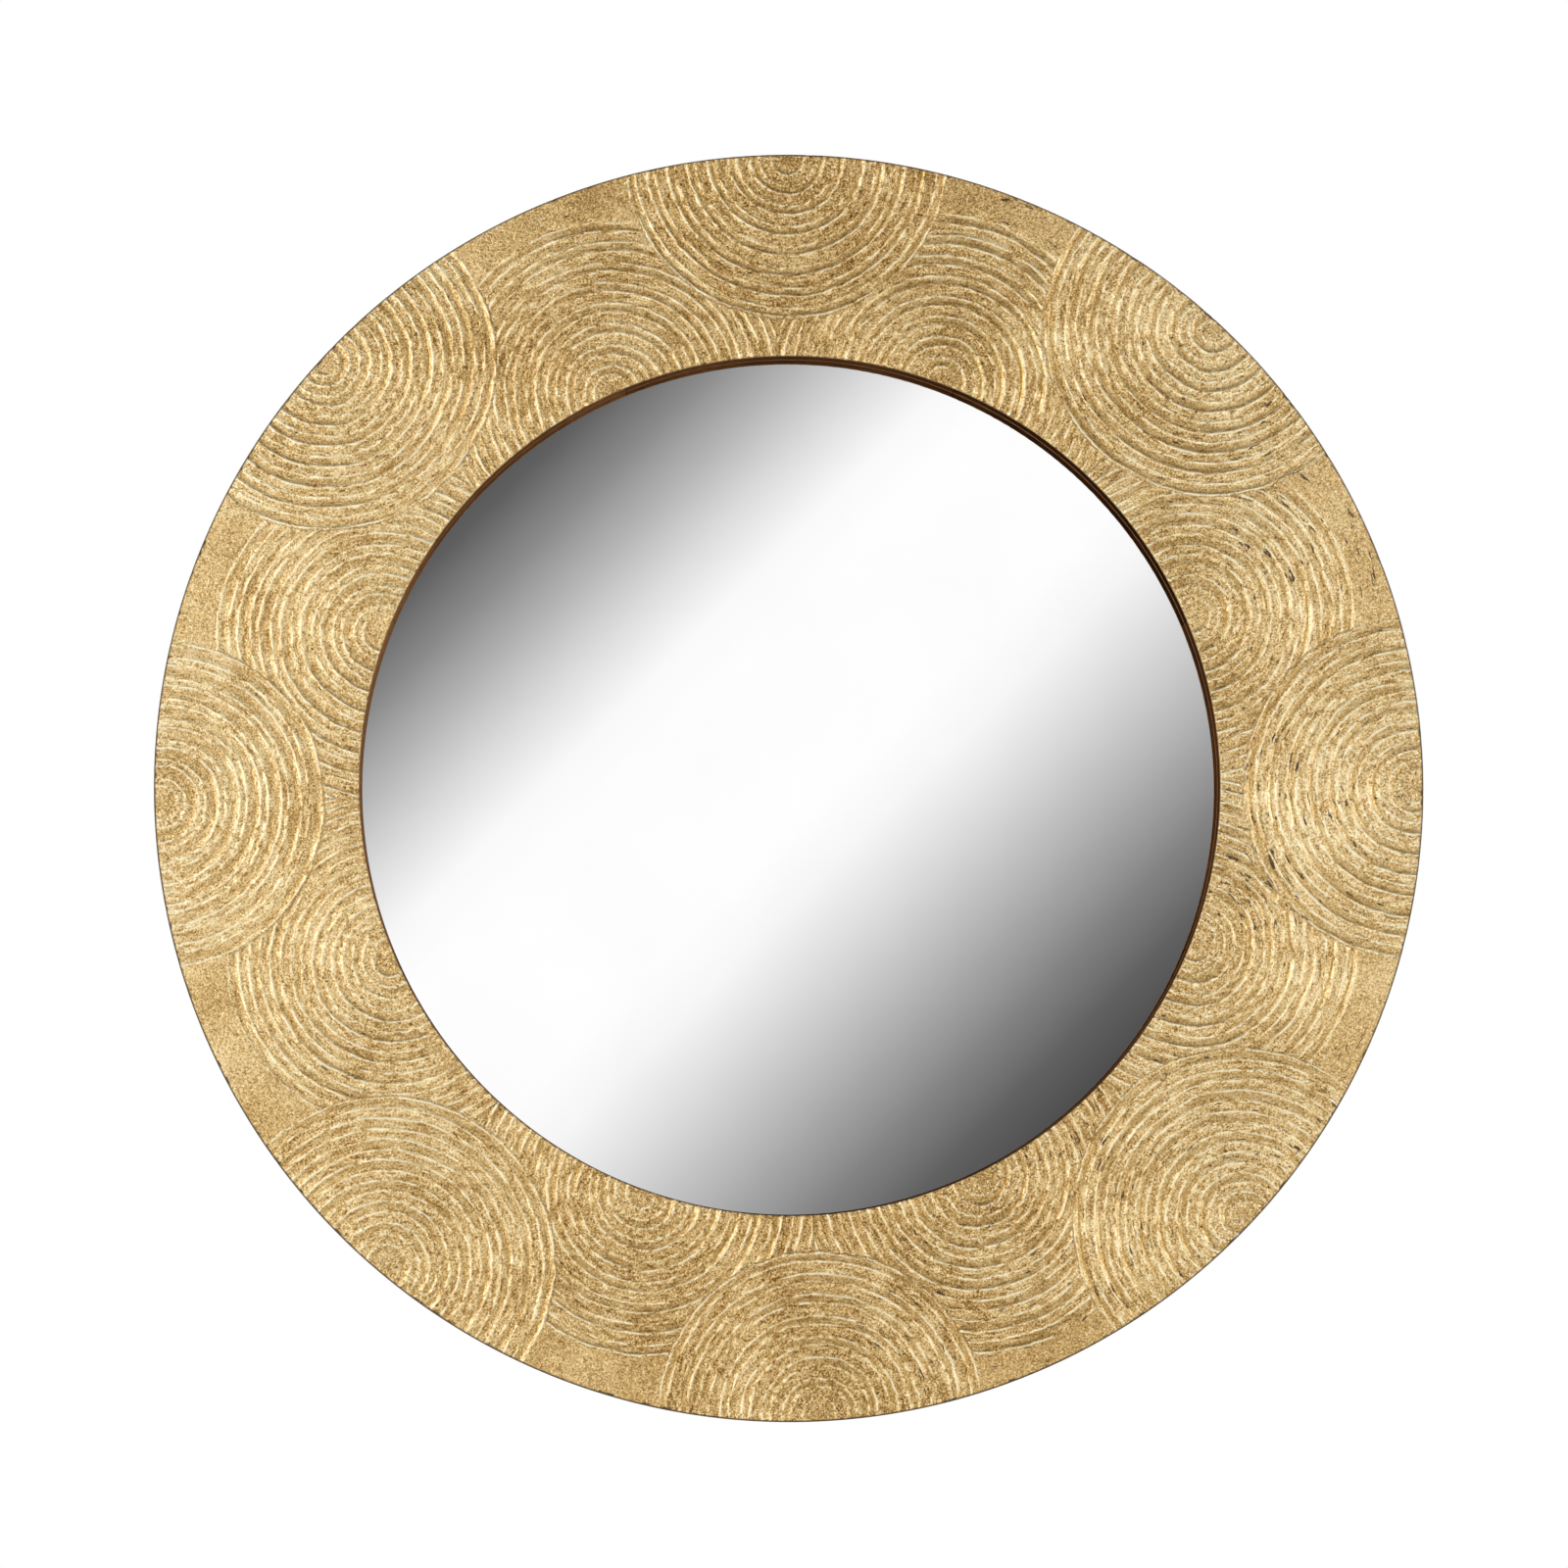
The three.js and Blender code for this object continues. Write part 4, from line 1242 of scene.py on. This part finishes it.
@dataclass
class Studio:
    """Pale floor, soft lamps, the card that the glass reflects, and the white surroundings."""

    floor_level: float = -0.75
    floor_radius: float = 3.2
    card_y: float = -3.0
    card_centre: tuple[float, float] = (0.084, 0.19)
    card_half: float = 0.445
    lamps: tuple[Lamp, ...] = (
        Lamp("left_lamp", (-1.25, -1.5, 0.15), 5.8, 0.9),
        Lamp("right_lamp", (1.25, -1.5, 0.1), 4.6, 0.9),
        Lamp("left_edge_lamp", (-2.0, -1.0, 0.6), 25.0, 0.8),
        Lamp("right_edge_lamp", (2.0, -1.1, 0.3), 15.0, 0.8),
        Lamp("back_lamp", (0.7, 2.2, 0.9), 22.0, 1.2),
    )

    def staged(self, name: str, body: bmesh.types.BMesh, material: bpy.types.Material) -> bpy.types.Object:
        """Make an object that isn't part of the mirror."""
        mesh = bpy.data.meshes.new(name)
        body.to_mesh(mesh)
        body.free()
        mesh.materials.append(material)
        made = bpy.data.objects.new(name, mesh)
        bpy.context.scene.collection.objects.link(made)
        return made

    def floor(self) -> None:
        """Make a round pale floor that fades out at its edge."""
        body = bmesh.new()
        bmesh.ops.create_circle(body, cap_ends=True, radius=self.floor_radius, segments=96,
                                matrix=Matrix.Translation((0, 0, self.floor_level)))
        material = bpy.data.materials.new("pale_floor")
        material.use_nodes = True
        tree = material.node_tree
        tree.nodes.clear()
        place = add(tree, "TexCoord").outputs["Object"]
        reach = add(tree, "VectorMath", {0: place}, operation="LENGTH").outputs["Value"]
        fade = add(tree, "MapRange", {"Value": reach, "From Min": 0.9, "From Max": self.floor_radius * 0.98},
                   interpolation_type="SMOOTHSTEP").outputs[0]
        paint = add(tree, "BsdfDiffuse", {"Color": srgb("#f2f2f0")}).outputs[0]
        clear = add(tree, "BsdfTransparent").outputs[0]
        mixed = add(tree, "MixShader", {0: fade, 1: paint, 2: clear}).outputs[0]
        add(tree, "OutputMaterial", {"Surface": mixed})
        self.staged("floor", body, material)

    def card(self) -> None:
        """Make the graded card that stands behind the camera and shows in the glass."""
        x, z = self.card_centre
        body = bmesh.new()
        bmesh.ops.create_grid(body, x_segments=1, y_segments=1, size=1.1,
                              matrix=Matrix.Translation((x, self.card_y, z)) @ Matrix.Rotation(math.pi / 2, 4, "X"))
        material = bpy.data.materials.new("graded_card")
        material.use_nodes = True
        tree = material.node_tree
        tree.nodes.clear()
        place = add(tree, "TexCoord").outputs["Object"]
        local = add(tree, "Mapping", {"Vector": place, "Location": (x, self.card_y, z)}, vector_type="TEXTURE")
        slope = add(tree, "VectorMath", {0: local.outputs[0], 1: (0.7071, 0, -0.7071)},
                    operation="DOT_PRODUCT").outputs["Value"]
        reach = self.card_half * 1.25
        share = add(tree, "MapRange", {"Value": slope, "From Min": -reach, "From Max": reach}).outputs[0]
        greys = {-1.15: 60, -0.952: 96, -0.816: 139, -0.68: 182, -0.544: 220, -0.408: 249, -0.3: 254, 0.08: 254,
                 0.204: 246, 0.34: 223, 0.476: 196, 0.612: 165, 0.748: 131, 0.884: 97, 1.0: 78, 1.15: 55}
        graded = add(tree, "ValToRGB", {"Fac": share}, stops=[
            ((step / 1.25 + 1) / 2, srgb(f"#{grey:02x}{grey:02x}{grey:02x}")) for step, grey in greys.items()])
        glow = add(tree, "Emission", {"Color": graded.outputs["Color"], "Strength": 1.06}).outputs[0]
        span = add(tree, "VectorMath", {0: local.outputs[0]}, operation="LENGTH").outputs["Value"]
        fade = add(tree, "MapRange", {"Value": span, "From Min": 0.5, "From Max": 1.05},
                   interpolation_type="SMOOTHSTEP").outputs[0]
        clear = add(tree, "BsdfTransparent").outputs[0]
        mixed = add(tree, "MixShader", {0: fade, 1: glow, 2: clear}).outputs[0]
        add(tree, "OutputMaterial", {"Surface": mixed})
        card = self.staged("graded_card", body, material)
        card.visible_camera = False
        card.visible_shadow = False
        card.visible_diffuse = False

    def surroundings(self) -> None:
        """Make the world: white to the eye, and brighter on the left than on the right to metal."""
        world = bpy.data.worlds.new("studio")
        world.use_nodes = True
        tree = world.node_tree
        tree.nodes.clear()
        path = add(tree, "LightPath").outputs
        way = add(tree, "SeparateXYZ", {0: add(tree, "TexCoord").outputs["Generated"]}).outputs
        across = add(tree, "MapRange", {"Value": way["X"], "From Min": -1.0, "From Max": 1.0}).outputs[0]
        sides = add(tree, "ValToRGB", {"Fac": across}, stops=[
            (0.0, srgb("#c4c4c4")),
            (0.3, srgb("#a6a6a6")),
            (0.5, srgb("#9c9c9c")),
            (0.7, srgb("#828282")),
            (1.0, srgb("#949494")),
        ]).outputs["Color"]
        upright = add(tree, "Math", {0: way["Z"]}, operation="ABSOLUTE").outputs[0]
        dim = add(tree, "MapRange", {"Value": upright, "From Min": 0.1, "From Max": 0.9,
                                     "To Min": 1.0, "To Max": 0.55}).outputs[0]
        seen = add(tree, "Background", {"Color": srgb("#ffffff"), "Strength": 1.0}).outputs[0]
        metal = add(tree, "Background", {"Color": sides, "Strength": dim}).outputs[0]
        lit = add(tree, "Background", {"Color": srgb("#f4f6f8"), "Strength": 0.62}).outputs[0]
        glossy = add(tree, "MixShader", {0: path["Is Glossy Ray"], 1: lit, 2: metal}).outputs[0]
        clear = add(tree, "Math", {0: path["Is Camera Ray"], 1: path["Is Transmission Ray"]},
                    operation="MAXIMUM").outputs[0]
        mixed = add(tree, "MixShader", {0: clear, 1: glossy, 2: seen}).outputs[0]
        output = tree.nodes.new("ShaderNodeOutputWorld")
        tree.links.new(mixed, output.inputs["Surface"])
        bpy.context.scene.world = world

    def build(self) -> None:
        """Make the floor, the card, the lamps and the world."""
        self.floor()
        self.card()
        self.surroundings()
        for lamp in self.lamps:
            lamp.build()
        bpy.context.scene.view_settings.view_transform = "Standard"


@dataclass
class Viewpoint:
    """The camera: in front, a little left of the axis and below it."""

    place: tuple[float, float, float] = (-0.071, -2.53, -0.16)
    aim: tuple[float, float, float] = (-0.0032, -0.0306, -0.0003)
    lens_mm: float = 121.85
    sensor_mm: float = 36.0

    def build(self) -> None:
        """Make the camera and use it for the scene."""
        data = bpy.data.cameras.new("camera")
        data.lens = self.lens_mm
        data.sensor_width = self.sensor_mm
        camera = bpy.data.objects.new("camera", data)
        camera.location = self.place
        camera.rotation_euler = (Vector(self.aim) - Vector(self.place)).to_track_quat("-Z", "Y").to_euler()
        bpy.context.scene.collection.objects.link(camera)
        bpy.context.scene.camera = camera


def main() -> None:
    """Build the camera, the mirror's sub-assemblies and the studio."""
    logging.basicConfig(level=logging.INFO, format="%(message)s")
    parts = [
        Viewpoint(),
        CombedFace(),
        TurnedRing(),
        GlassAndBacking(),
        BackScrews(),
        Hanger(Side.LEFT),
        Hanger(Side.RIGHT),
        Bumpers(),
        Studio(),
    ]
    for part in parts:
        log.info("building %s", type(part).__name__)
        part.build()


if __name__ == "__main__":
    main()
